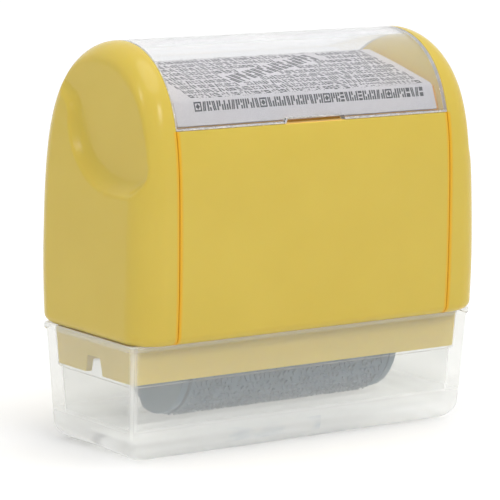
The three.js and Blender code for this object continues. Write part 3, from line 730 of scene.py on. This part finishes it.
def stroke(a, b, width):
    """A thin bar between two points of the unit square."""
    a, b = Vector(a), Vector(b)
    along = (b - a).normalized() * width / 2
    side = Vector((-along.y, along.x))
    return [tuple(point) for point in (a + side, a - side, b - side, b + side)]


def bar(low_u, high_u, low_v=0.0, high_v=1.0):
    return [(low_u, low_v), (high_u, low_v), (high_u, high_v), (low_u, high_v)]


def frame_of(low_u, low_v, high_u, high_v, width):
    """The four bars of a rectangular frame."""
    return [
        bar(low_u, high_u, low_v, low_v + width),
        bar(low_u, high_u, high_v - width, high_v),
        bar(low_u, low_u + width, low_v + width, high_v - width),
        bar(high_u - width, high_u, low_v + width, high_v - width)]


def slant(foot_u, head_u, width, low_v=0.0, high_v=1.0):
    """A leaning bar, from where its foot starts to where its head starts."""
    return [(foot_u, low_v), (foot_u + width, low_v), (head_u + width, high_v), (head_u, high_v)]


HEAVY_MARKS = [
    [bar(0, 0.4), bar(0.6, 1, 0.4, 1)],
    [bar(0, 0.4, 0, 0.6), bar(0.6, 1)],
    [bar(0, 0.4), bar(0.6, 1, 0, 0.38), bar(0.6, 1, 0.62, 1)],
    [bar(0.6, 1), bar(0, 0.4, 0, 0.38), bar(0, 0.4, 0.62, 1)],
    [bar(0, 1, 0, 0.24), bar(0, 1, 0.38, 0.62), bar(0, 1, 0.76, 1)],
    [slant(0, 0.26, 0.32), slant(0.42, 0.68, 0.32)],
    [slant(0.26, 0, 0.32), slant(0.68, 0.42, 0.32)],
    [bar(0, 1, 0, 0.42), bar(0, 1, 0.58, 1)],
]

THIN_MARKS = [
    [bar(0, 0.28), bar(0.58, 0.86, 0.3, 1)],
    [bar(0.1, 0.38, 0, 0.7), bar(0.72, 1)],
    [bar(0.05, 0.33), bar(0.58, 0.95, 0.1, 0.32), bar(0.58, 0.95, 0.68, 0.9)],
    [bar(0.67, 0.95), bar(0.05, 0.42, 0.1, 0.32), bar(0.05, 0.42, 0.68, 0.9)],
    [bar(0, 0.9, 0, 0.2), bar(0, 0.9, 0.4, 0.6), bar(0, 0.9, 0.8, 1)],
    [stroke((0.15, 0), (0.55, 1), 0.25), bar(0.75, 1, 0.15, 0.85)],
    [stroke((0.85, 0), (0.45, 1), 0.25), bar(0, 0.25, 0.15, 0.85)],
    frame_of(0, 0.15, 0.95, 0.85, 0.22),
]

ICON = frame_of(0, 0, 1, 1, 0.16) + [[(0.5, 0.2), (0.8, 0.5), (0.5, 0.8), (0.2, 0.5)]]

DIE_MARKS = [
    [slant(0, 0.55, 0.45)],
    [[(0, 0), (1, 0), (0.5, 0.95)]],
    [[(0.5, 0), (1, 0.5), (0.5, 1), (0, 0.5)]],
    [arc(0.5, 0.04, 0.5, 0, math.pi, DISC_STEPS)],
    [arc(0.5, 0.96, 0.5, math.pi, math.tau, DISC_STEPS)],
    [bar(0, 0.42, 0, 0.42), bar(0.58, 1, 0.58, 1)],
    [slant(0, 0.28, 0.34, 0.62, 1), slant(0.38, 0.66, 0.34, 0, 0.38)],
    [[(0, 1), (1, 1), (0.5, 0.56)], [(0, 0), (0.5, 0.44), (1, 0)]],
    [bar(0, 0.3, 0, 0.3), bar(0.35, 0.65, 0.35, 0.65), bar(0.7, 1, 0.7, 1)],
]


def add_mark(shell, outlines, place, low, high):
    """Closed flat blocks between two heights: place turns (u, v, height) into a point."""
    for outline in outlines:
        shell.tube_rows([[place(u, v, height) for u, v in outline] for height in (low, high)])


# Cap

def cap_halves(z):
    """Half the cap's length and half its depth at a height."""
    draft = 1 - min(z / CAP_TOP, 1.0)
    return CAP_HIGH.x - CAP_LIP - CAP_DRAFT_LENGTH * draft, CAP_HIGH.y - CAP_LIP - CAP_DRAFT_DEPTH * draft


def rounded_ring(half_x, half_y, z):
    """A ring of points round a rectangle with rounded corners."""
    radius = min(CAP_CORNER, half_x, half_y)
    flat_x, flat_y = half_x - radius, half_y - radius
    half = [(half_x, y) for y in spread(-flat_y, flat_y, CAP_END_POINTS)]
    half += arc(flat_x, flat_y, radius, 0, math.pi / 2, CAP_CORNER_POINTS)[:-1]
    half += [(x, half_y) for x in spread(flat_x, -flat_x, CAP_SIDE_POINTS)]
    half += arc(-flat_x, flat_y, radius, math.pi / 2, math.pi, CAP_CORNER_POINTS)[:-1]
    return [(x, y, z) for x, y in half] + [(-x, -y, z) for x, y in half]


def cap_ring(z, inset_x, inset_y=None):
    """A ring of the cap at a height, set in from its walls."""
    half_x, half_y = cap_halves(z)
    return rounded_ring(half_x - inset_x, half_y - (inset_x if inset_y is None else inset_y), z)


def cap_outside():
    """Rings of the cap's outside, from the middle of the bottom to the rim."""
    rings = []
    half_y = cap_halves(0)[1] - CAP_FOOT_DEPTH
    for inset in spread(half_y, 0, CAP_BOTTOM_RINGS):
        rings.append(cap_ring(0, CAP_FOOT_LENGTH + inset, CAP_FOOT_DEPTH + inset))
    for turn in reversed(quarter_turn(CAP_FOOT_RINGS)):
        z = CAP_FOOT_HEIGHT * (1 - math.sin(turn))
        share = 1 - math.cos(turn)
        rings.append(cap_ring(z, CAP_FOOT_LENGTH * share, CAP_FOOT_DEPTH * share))
    for z in np.linspace(CAP_FOOT_HEIGHT, CAP_TOP - CAP_LIP_HEIGHT - CAP_EDGE, CAP_WALL_RINGS)[1:]:
        rings.append(cap_ring(z, 0.0))

    # The tunnel between the feet
    grid = np.array(rings)
    y, z = grid[..., 1], grid[..., 2]
    room = np.clip(1 - (y / CAP_ARCH_HALF) ** 2, 0, 1)
    lifted = -smooth_min(-z, -CAP_ARCH_HEIGHT * np.sqrt(room), CAP_ARCH_SOFTNESS)
    grid[..., 2] = np.where(room > 0, np.maximum(z, lifted), z)
    return grid.tolist()


def cap_lip():
    """The lip, whose outer edge rises under the rounded foot of the housing."""
    bottom = CAP_TOP - CAP_LIP_HEIGHT
    top = CAP_TOP + CAP_RIM_RISE
    first, second = CAP_LIP_SHARES
    stations = [
        (bottom, 0.0),
        (bottom + CAP_LIP_START, -CAP_LIP * first),
        (bottom + CAP_LIP * second, -CAP_LIP),
        (top - CAP_EDGE * 2, -CAP_LIP),
        (top - CAP_EDGE, -CAP_LIP + CAP_EDGE / 4),
        (top - CAP_EDGE / 4, -CAP_LIP + CAP_EDGE),
        (top, -CAP_LIP + CAP_EDGE * 2),
        (top - CAP_EDGE, CAP_LIP),
        (CAP_TOP + CAP_EDGE, CAP_WALL / 2),
    ]
    return [cap_ring(z, inset) for z, inset in stations]


def cap_inside():
    """Rings of the cap's inside, from the rim over the ledge to the floor."""
    thick = CAP_WALL + CAP_LEDGE
    rings = [
        cap_ring(CAP_TOP, CAP_WALL - CAP_EDGE),
        cap_ring(CAP_TOP - CAP_EDGE, CAP_WALL),
        cap_ring(CAP_LEDGE_TOP + CAP_EDGE, CAP_WALL),
        cap_ring(CAP_LEDGE_TOP, CAP_WALL + CAP_EDGE / 2),
        cap_ring(CAP_LEDGE_TOP, thick - CAP_EDGE),
        cap_ring(CAP_LEDGE_TOP - CAP_EDGE, thick),
    ]
    radius = CAP_FLOOR / 2
    for inset, z in arc(thick + radius, CAP_FLOOR + radius, -radius, 0, math.pi / 2, ROUND_STEPS * 2):
        rings.append(cap_ring(z, inset))
    return rings


def make_cap(look):
    shell = Shell()
    rings = cap_outside() + cap_lip() + cap_inside()
    shell.rows(rings, closed=True)
    shell.cover(rings[-1])
    piece = add_piece("cap", shell, "cap", look, ("cap",))
    piece.visible_shadow = False


# Materials

def set_inputs(node, values):
    for name, value in values.items():
        node.inputs[name].default_value = value


def follow(tree, factor, start, end, low, high):
    """A number that goes from low to high while a factor goes from start to end."""
    span = tree.nodes.new("ShaderNodeMapRange")
    set_inputs(span, {"From Min": start, "From Max": end, "To Min": low, "To Max": high})
    tree.links.new(factor, span.inputs["Value"])
    return span.outputs["Result"]


class Look:
    """A material, and what feeds its shader."""

    def __init__(self, name, values):
        self.material = bpy.data.materials.new(name)
        self.material.use_nodes = True
        self.tree = self.material.node_tree
        self.node = self.tree.nodes.new
        self.link = self.tree.links.new
        self.shader = self.tree.nodes["Principled BSDF"]
        set_inputs(self.shader, values)

    def feed(self, target, source):
        self.link(source, self.shader.inputs[target])

    def parts(self, output):
        """The three parts of a texture coordinate."""
        coords = self.node("ShaderNodeTexCoord")
        split = self.node("ShaderNodeSeparateXYZ")
        self.link(coords.outputs[output], split.inputs["Vector"])
        return split.outputs["X"], split.outputs["Y"], split.outputs["Z"]

    def noise(self, scale, detail=2.0, stretch=(1, 1, 1), roughness=0.5):
        """Noise that stays on the piece, with its scale per metre."""
        coords = self.node("ShaderNodeTexCoord")
        mapping = self.node("ShaderNodeMapping")
        mapping.inputs["Scale"].default_value = stretch
        noise = self.node("ShaderNodeTexNoise")
        set_inputs(noise, {"Scale": scale, "Detail": detail, "Roughness": roughness})
        self.link(coords.outputs["Object"], mapping.inputs["Vector"])
        self.link(mapping.outputs["Vector"], noise.inputs["Vector"])
        return noise.outputs["Fac"]

    def math(self, operation, *values):
        """The result of a calculation on sockets and plain numbers."""
        node = self.node("ShaderNodeMath")
        node.operation = operation
        for value, socket in zip(values, node.inputs):
            if isinstance(value, bpy.types.NodeSocket):
                self.link(value, socket)
            else:
                socket.default_value = value
        return node.outputs["Value"]

    def near(self, value, centre, reach):
        """One where a length is within reach of a centre, else zero."""
        return self.math("COMPARE", value, centre * MM, reach * MM)

    def span(self, factor, start, end, low, high):
        return follow(self.tree, factor, start, end, low, high)

    def vary(self, target, factor, low, high, start=0.3, end=0.7):
        """A number of the shader that follows a factor between two values."""
        self.feed(target, self.span(factor, start, end, low, high))

    def tint(self, factor, colours, start=0.3, end=0.7):
        """The base colour, which follows a factor between two colours."""
        ramp = self.node("ShaderNodeValToRGB")
        for element, place, colour in zip(ramp.color_ramp.elements, (start, end), colours):
            element.position = place
            element.color = (*colour, 1)
        self.link(factor, ramp.inputs["Fac"])
        self.feed("Base Color", ramp.outputs["Color"])

    def relief(self, height, depth):
        """Fine relief of some depth in millimetres."""
        bump = self.node("ShaderNodeBump")
        set_inputs(bump, {"Strength": 1.0, "Distance": depth * MM})
        self.link(height, bump.inputs["Height"])
        self.feed("Normal", bump.outputs["Normal"])


def moulded_plastic(name, colours, rough, glow=0.0, gloss=0.5):
    """Moulded plastic: slight mottling, uneven gloss and a fine grain."""
    look = Look(name, {
        "IOR": 1.49, "Specular IOR Level": gloss,
        "Subsurface Weight": glow, "Subsurface Radius": GLOW_SHARES, "Subsurface Scale": GLOW_DEPTH * MM})
    look.tint(look.noise(120), colours)
    look.vary("Roughness", look.noise(500, 3), rough - 0.03, rough + 0.04)
    look.relief(look.noise(700), PLASTIC_GRAIN)
    return look


def housing_plastic():
    """The housing's plastic: painted a deeper orange at its seams, standing for light through the plastic,
    and given a painted glow beside the card.
    """
    look = moulded_plastic("housing_yellow", HOUSING_COLOURS, 0.20, 0.15, 0.22)
    x, y, z = look.parts("Object")
    offset = look.math("ABSOLUTE", x)

    # Painted orange glow on the seams up to the sill and on the panel's edge that shows in the pry notch,
    # standing for light through the translucent plastic
    away = look.math("ABSOLUTE", look.math("SUBTRACT", offset, (CHEEK_INNER - SEAM_GAP / 2) * MM))
    painted_seam_glow = look.span(away, SEAM_PAINTED_GLOW * MM / 3, SEAM_PAINTED_GLOW * MM, 1.0, 0.0)
    painted_seam_glow = look.math("MULTIPLY", painted_seam_glow, look.near(z, SILL / 2, SILL / 2))
    painted_slot_glow = look.math("MULTIPLY", look.near(x, 0.0, NOTCH_HALF), look.near(z, SILL, SEAM_GAP))
    mix = look.node("ShaderNodeMix")
    mix.data_type = "RGBA"
    mix.inputs["B"].default_value = (*SEAM_PAINTED_GLOW_COLOUR, 1)
    look.link(look.math("MAXIMUM", painted_seam_glow, painted_slot_glow), mix.inputs["Factor"])
    look.link(look.shader.inputs["Base Color"].links[0].from_socket, mix.inputs["A"])
    look.feed("Base Color", mix.outputs["Result"])

    # Painted glow on the inner faces of the cheeks above the sill and in the pry notch, standing for light
    # through the plastic
    face = look.near(offset, CHEEK_INNER, INNER_FACE_REACH)
    face = look.math("MULTIPLY", face, look.near(z, TOP, TOP - SILL))
    look.vary("Emission Strength", look.math("MAXIMUM", face, painted_slot_glow), 0.0, INNER_PAINTED_GLOW, 0, 1)
    set_inputs(look.shader, {"Emission Color": (*INNER_PAINTED_GLOW_COLOUR, 1)})
    return look


def frosted_plastic():
    """Frosted clear plastic, with faint ink marks and a painted glow low down that stands for light in its
    thick floor.
    """
    look = Look("frosted_clear", {
        "IOR": 1.08, "Emission Color": (*CAP_PAINTED_GLOW_COLOUR, 1), "Coat Weight": 0.5, "Coat Roughness": 0.12})
    x, y, z = look.parts("Object")

    # The ink marks, low on the front wall
    smudge = look.math("MULTIPLY", look.near(x, SMUDGE_CENTRE[0], SMUDGE_REACH[0]),
                       look.near(z, SMUDGE_CENTRE[1], SMUDGE_REACH[1]))
    smudge = look.math("MULTIPLY", smudge, look.near(y, -CAP_HIGH.y, SMUDGE_DEPTH))
    smudge = look.math("MULTIPLY", smudge, look.noise(500, 4, (0.4, 1, 1)))
    look.tint(smudge, CAP_COLOURS, *SMUDGE_SPAN)
    look.vary("Roughness", look.noise(900, 4), 0.08, 0.14)
    look.relief(look.noise(1500), FROST_GRAIN)

    # Clear on the flat walls, milky where the shape turns, in the floor and at the rim
    steepest = 0.0
    for part in look.parts("Normal"):
        steepest = look.math("MAXIMUM", look.math("ABSOLUTE", part), steepest)
    flat = look.span(steepest, *FLATNESS_SPAN, CAP_EDGE_CLEARNESS, CAP_CLEARNESS)
    low = look.span(z, CAP_FLOOR * MM, CAP_CLEAR_FROM * MM, CAP_FLOOR_CLEARNESS, CAP_CLEARNESS)
    lip = CAP_TOP - CAP_LIP_HEIGHT
    rim = look.span(z, lip * MM, (lip + CAP_LIP) * MM, CAP_CLEARNESS, CAP_RIM_CLEARNESS)
    look.feed("Transmission Weight", look.math("MINIMUM", look.math("MINIMUM", flat, low), rim))
    # Painted glow, strongest at the floor and gone at the end height
    look.vary("Emission Strength", z, CAP_PAINTED_GLOW, 0.0, CAP_FLOOR * MM, CAP_PAINTED_GLOW_END * MM)
    return look


def clear_plastic():
    """Polished clear plastic, with the faint unevenness of a moulded lid."""
    look = Look("window_clear", {"Transmission Weight": 0.95, "IOR": 1.35})
    look.tint(look.noise(60, 1), WINDOW_COLOURS)
    look.vary("Roughness", look.noise(400, 3), 0.0, 0.01)
    return look


def frosted_rim():
    """The cut edges of the window, with a painted glow that stands for the light the lid carries to them."""
    look = Look("window_rim", {
        "Transmission Weight": 0.3, "IOR": 1.35,
        "Emission Color": (*EDGE_PAINTED_GLOW_COLOUR, 1), "Emission Strength": EDGE_PAINTED_GLOW})
    look.tint(look.noise(300), RIM_COLOURS)
    look.vary("Roughness", look.noise(900, 3), 0.2, 0.35)
    return look


def card_paper():
    """Matt card with fine fibres."""
    look = Look("card_paper", {})
    fibres = look.noise(1500, 4, (1, 3, 3))
    look.tint(fibres, CARD_COLOURS)
    look.vary("Roughness", look.noise(2500, 3), 0.62, 0.78)
    look.relief(fibres, CARD_GRAIN)
    return look


def printing_ink():
    """Printed ink, slightly uneven on the card."""
    look = Look("printed_ink", {})
    wear = look.noise(2600, 3)
    look.tint(wear, INK_COLOURS)
    look.vary("Roughness", wear, 0.45, 0.65)
    look.relief(look.noise(1800, 3), INK_GRAIN)
    return look


def inked_rubber():
    """Rubber that is stained with ink, bluish grey where it is worn."""
    look = Look("inked_rubber", {})
    look.tint(look.noise(350, 4), RUBBER_COLOURS)
    look.vary("Roughness", look.noise(900, 3), 0.55, 0.8)
    look.relief(look.noise(5000, 4), RUBBER_GRAIN)
    return look


def inked_felt():
    """Felt soaked with ink."""
    look = Look("inked_felt", {"Sheen Weight": 0.25})
    fibres = look.noise(2600, 6, (1, 1, 1), 0.7)
    look.tint(fibres, FELT_COLOURS)
    look.vary("Roughness", fibres, 0.85, 1.0)
    look.relief(fibres, FELT_GRAIN)
    return look


def lined_metal(name, colours, stretch, smooth, rough, grain):
    """Bare metal with fine lines from how it was worked."""
    look = Look(name, {"Metallic": 1.0})
    lines = look.noise(300, 3, (stretch, 1, 1))
    look.tint(lines, colours)
    look.vary("Roughness", lines, smooth, rough)
    look.relief(lines, grain)
    return look


def floor_paper():
    """Plain pale paper without a sheen."""
    look = Look("floor_paper", {"Roughness": 0.9, "Specular IOR Level": 0.1})
    look.tint(look.noise(20), FLOOR_COLOURS)
    return look


yellow = housing_plastic()
# Base frame yellow, painted lighter to make up for the shade inside the cap
skirt_yellow_brightened = moulded_plastic("skirt_yellow_brightened", SKIRT_BRIGHTENED_COLOURS, 0.32, 0.15)
# Label bed and side plates: the housing's yellow with painted warm shade
inner_yellow = moulded_plastic("inner_yellow", INNER_SHADE_COLOURS, 0.36, 0.15)
grey_plastic = moulded_plastic("grey_plastic", GREY_COLOURS, 0.42)
nylon = moulded_plastic("nylon", NYLON_COLOURS, 0.45, 0.2)
steel = lined_metal("ground_steel", STEEL_COLOURS, 40, 0.22, 0.36, STEEL_GRAIN)
spring_steel = lined_metal("spring_strip", SPRING_COLOURS, 30, 0.25, 0.4, SPRING_GRAIN)
felt = inked_felt()


# Camera, light and floor

def make_camera():
    """The camera at the photograph's place and angle."""
    data = bpy.data.cameras.new("camera")
    data.lens = CAMERA_LENS
    data.sensor_width = CAMERA_SENSOR
    data.clip_start = MM
    camera = add_object("camera", data)
    place = Vector(CAMERA_PLACE)
    aim = (Vector(CAMERA_TARGET) - place).to_track_quat("-Z", "Y").to_matrix().to_4x4()
    roll = Matrix.Rotation(math.radians(CAMERA_ROLL), 4, "Z")
    camera.matrix_world = Matrix.Translation(place * MM) @ aim @ roll
    bpy.context.scene.camera = camera


def aim_light(name, data, direction):
    """A light object that shines along a direction."""
    light = add_object(name, data)
    light.rotation_euler = direction.to_track_quat("-Z", "Y").to_euler()
    return light


def add_softbox(name, place, target, width, brightness):
    """A square area light, with its brightness against the white surroundings."""
    data = bpy.data.lights.new(name, "AREA")
    data.size = width * MM
    data.energy = brightness * math.pi * data.size ** 2
    light = aim_light(name, data, Vector(target) - Vector(place))
    light.location = Vector(place) * MM


def add_sky():
    """A wide soft light from above, with the brightness that it gives a white floor."""
    data = bpy.data.lights.new("sky", "SUN")
    data.angle = math.radians(SKY_SPREAD)
    data.energy = SKY_BRIGHTNESS * math.pi
    aim_light("sky", data, -Vector(SKY_DIRECTION))


def make_world():
    """White surroundings, brighter towards the rear right."""
    world = bpy.data.worlds.new("studio")
    world.use_nodes = True
    tree = world.node_tree
    background = tree.nodes["Background"]
    background.inputs["Color"].default_value = (1, 1, 1, 1)
    coords = tree.nodes.new("ShaderNodeTexCoord")
    lean = tree.nodes.new("ShaderNodeVectorMath")
    lean.operation = "DOT_PRODUCT"
    lean.inputs[1].default_value = WORLD_BRIGHT_SIDE
    tree.links.new(coords.outputs["Generated"], lean.inputs[0])
    strength = follow(tree, lean.outputs["Value"], *WORLD_SPAN, *WORLD_STRENGTHS)
    tree.links.new(strength, background.inputs["Strength"])
    bpy.context.scene.world = world


def make_floor():
    """The wide pale floor that the cap stands on, so it stays under the cap when the stamp is lifted out."""
    shell = Shell()
    steps = np.linspace(-FLOOR_HALF, FLOOR_HALF, FLOOR_LINES)
    shell.rows([[(x, y, 0.0) for x in steps] for y in steps])
    mesh = shell.mesh("floor")
    mesh.materials.append(floor_paper().material)
    floor = add_object("floor", mesh)
    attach(floor, "cap")


make_camera()
make_world()
make_floor()
add_sky()
for name, softbox in SOFTBOXES.items():
    add_softbox(name, *softbox)
bpy.context.scene.view_settings.view_transform = "Standard"


# Housing, window, card and cap

make_cheek(-1, "left_cheek", yellow)
make_cheek(1, "right_cheek", yellow)
make_panel(-1, "front_panel", yellow)
make_panel(1, "rear_panel", yellow)
make_window(clear_plastic(), frosted_rim())
make_card(card_paper())
make_cap(frosted_plastic())


# Printed marks on the label

def card_place():
    """Turns (x, distance up the card from its foot, height above it) into a point."""
    line = rounded_line(card_corners(), CARD_BEND_RADIUS)
    normals = line_normals(line)
    marks = [0.0]
    for before, after in zip(line, line[1:]):
        marks.append(marks[-1] + (after - before).length)

    def place(x, up, height):
        k = min(max(sum(mark <= up for mark in marks) - 1, 0), len(line) - 2)
        share = (up - marks[k]) / (marks[k + 1] - marks[k])
        point = line[k].lerp(line[k + 1], share) + normals[k].lerp(normals[k + 1], share) * height
        return x, point.x, point.y

    return place


def turned(along, across, turn):
    """A vector of two parts, turned by an angle."""
    cos, sin = math.cos(turn), math.sin(turn)
    return along * cos - across * sin, along * sin + across * cos


def in_band(x, up, spare):
    """Whether a point lies on the slanted band or within some distance of it."""
    offset = (x - BAND_CENTRE[0], up - BAND_CENTRE[1])
    along, across = turned(*offset, -math.radians(BAND_TILT))
    return abs(along) < BAND_HALF + spare and abs(across) < BAND_HEIGHT / 2 + spare


def print_bold_row(draw, put):
    """The heavy row at the front, with a framed mark at regular intervals."""
    count = 0
    x = PRINT_LEFT
    while x + BOLD_WIDTH <= PRINT_RIGHT:
        framed = count % BOLD_PERIOD == 0
        width = BOLD_WIDTH * ICON_SHARE if framed else BOLD_WIDTH
        put(ICON if framed else draw.choice(HEAVY_MARKS), x, BOLD_LOW, width, BOLD_HEIGHT)
        x += width + BOLD_PITCH - BOLD_WIDTH
        count += 1


def print_thin_row(draw, put, low):
    """A row of thin marks that differ in width."""
    x = PRINT_LEFT
    while x + ROW_WIDTH <= PRINT_RIGHT:
        share = draw.uniform(*ROW_WIDTH_SHARES)
        put(draw.choice(THIN_MARKS), x, low, ROW_WIDTH * share, ROW_HEIGHT)
        x += ROW_STEP * share


def print_band(draw, shell, place):
    """The slanted band of tall marks across the rows."""
    for i in range(int(2 * BAND_HALF / BAND_PITCH)):
        def tilted(u, v, height, start=i * BAND_PITCH - BAND_HALF):
            offset = turned(start + u * BAND_WIDTH, (v - 0.5) * BAND_HEIGHT, math.radians(BAND_TILT))
            return place(BAND_CENTRE[0] + offset[0], BAND_CENTRE[1] + offset[1], height)

        outlines = HEAVY_MARKS[draw.randrange(BAND_SHAPES)]
        add_mark(shell, outlines, tilted, -INK_DEPTH, INK_DEPTH)


def make_label_print(look):
    draw = random.Random(7)
    place = card_place()
    shell = Shell()

    def put(outlines, x, up, width, height):
        def within(u, v, rise):
            return place(x + u * width, up + v * height, rise)

        if not in_band(x + width / 2, up + height / 2, BAND_CLEAR):
            add_mark(shell, outlines, within, -INK_DEPTH, INK_DEPTH)

    print_bold_row(draw, put)
    for row in range(ROW_COUNT):
        print_thin_row(draw, put, ROWS_LOW + row * ROW_PITCH)
    print_band(draw, shell, place)
    add_piece("label_print", shell, "housing", look)


# Print die: a sleeve with raised marks in rows round it

def die_row(draw, half):
    """Places and shapes of one row of marks, in groups with a pause between them."""
    at = DIE_MARGIN - half
    placed = []
    left = draw.randint(1, DIE_GROUP)
    last = None
    while at + DIE_MARK_WIDTH <= half - DIE_MARGIN:
        if left == 0:
            at += DIE_PAUSE
            left = DIE_GROUP
            continue
        shape = draw.randrange(len(DIE_MARKS))
        if shape == last:
            shape = (shape + 1) % len(DIE_MARKS)
        last = shape
        placed.append((at, shape))
        at += DIE_MARK_WIDTH + DIE_MARK_GAP
        left -= 1
    return placed


def make_die(look):
    draw = random.Random(11)
    axis = (DIE_LOW.z + DIE_HIGH.z) / 2
    base = DIE_HIGH.y - DIE_RELIEF
    bore = base - DIE_BASE
    half = DIE_HIGH.x
    flat = half - DIE_EDGE
    corner = base - DIE_EDGE
    profile = [(-half, bore), (-half, corner), (-flat, base), (flat, base), (half, corner), (half, bore)]

    def ring_point(x, reach, turn):
        return x, reach * math.cos(turn), axis + reach * math.sin(turn)

    turns = [i / DIE_SIDES * math.tau for i in range(DIE_SIDES)]
    rings = [[ring_point(x, reach, turn) for turn in turns] for x, reach in profile]
    shell = Shell()
    shell.rows(rings + rings[:1], closed=True)
    pitch = math.tau / DIE_ROWS
    for row in range(DIE_ROWS):
        for x, shape in die_row(draw, half):
            def place(u, v, height, x=x, turn=row * pitch):
                return ring_point(x + u * DIE_MARK_WIDTH, base + height, turn + v * pitch * DIE_MARK_SHARE)

            add_mark(shell, DIE_MARKS[shape], place, -DIE_MARK_ROOT, DIE_RELIEF - DIE_MARK_SINK)
    add_piece("print_die", shell, "print_roller", look, ("print_die",))


make_label_print(printing_ink())
make_die(inked_rubber())


# CAD pieces that stay: finer edges and their materials

def smoothing_tree():
    """Shades every face smooth, but for the edges that are sharp."""
    tree = bpy.data.node_groups.new("smooth_by_angle", "GeometryNodeTree")
    for way in ("INPUT", "OUTPUT"):
        tree.interface.new_socket("Geometry", in_out=way, socket_type="NodeSocketGeometry")
    source = tree.nodes.new("NodeGroupInput")
    result = tree.nodes.new("NodeGroupOutput")
    bare = tree.nodes.new("GeometryNodeRemoveAttribute")
    bare.inputs["Name"].default_value = "custom_normal"
    faces = tree.nodes.new("GeometryNodeSetShadeSmooth")
    edges = tree.nodes.new("GeometryNodeSetShadeSmooth")
    edges.domain = "EDGE"
    edges.inputs["Shade Smooth"].default_value = False
    angle = tree.nodes.new("GeometryNodeInputMeshEdgeAngle")
    steep = tree.nodes.new("FunctionNodeCompare")
    steep.operation = "GREATER_THAN"
    steep.inputs["B"].default_value = math.radians(SHARP_ANGLE)
    chain = [source, bare, faces, edges, result]
    for before, after in zip(chain, chain[1:]):
        tree.links.new(before.outputs[0], after.inputs[0])
    tree.links.new(angle.outputs["Unsigned Angle"], steep.inputs["A"])
    tree.links.new(steep.outputs["Result"], edges.inputs["Selection"])
    return tree


def finish_node(node, look, edge, smoothing):
    """A CAD piece with small rounded edges and its material."""
    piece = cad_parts[node]
    weld = piece.modifiers.new("weld", "WELD")
    weld.merge_threshold = MM * MM
    flat = piece.modifiers.new("flat", "DECIMATE")
    flat.decimate_type = "DISSOLVE"
    flat.angle_limit = math.radians(FLAT_ANGLE)
    bevel = piece.modifiers.new("bevel", "BEVEL")
    bevel.width = edge * MM
    bevel.segments = EDGE_SEGMENTS
    bevel.limit_method = "ANGLE"
    bevel.angle_limit = math.radians(SHARP_ANGLE)
    smooth = piece.modifiers.new("smooth", "NODES")
    smooth.node_group = smoothing
    weigh_normals(piece)
    piece.data.materials.clear()
    piece.data.materials.append(look.material)


# Material, radius of the edges, and the pieces that have both
FINISHES = (
    (skirt_yellow_brightened, 0.25, ("base_frame",)),
    (inner_yellow, 0.15, ("label_bed", "left_side_plate", "right_side_plate")),
    (grey_plastic, 0.15, ("front_tie_bar", "rear_tie_bar", "print_drum", "ink_cap_left", "ink_cap_right")),
    (grey_plastic, 0.2, ("print_flange_left", "print_flange_right")),
    (grey_plastic, 0.1, ("ink_core",)),
    (steel, 0.15, ("print_axle",)),
    (steel, 0.12, ("ink_axle",)),
    (nylon, 0.1, ("print_bush_left", "print_bush_right")),
    (nylon, 0.15, ("ink_block_left", "ink_block_right")),
    (felt, 0.2, ("ink_sleeve",)),
    (spring_steel, 0.05, ("ink_spring_left", "ink_spring_right")),
)

smoothing = smoothing_tree()
for look, edge, nodes in FINISHES:
    for node in nodes:
        finish_node(node, look, edge, smoothing)
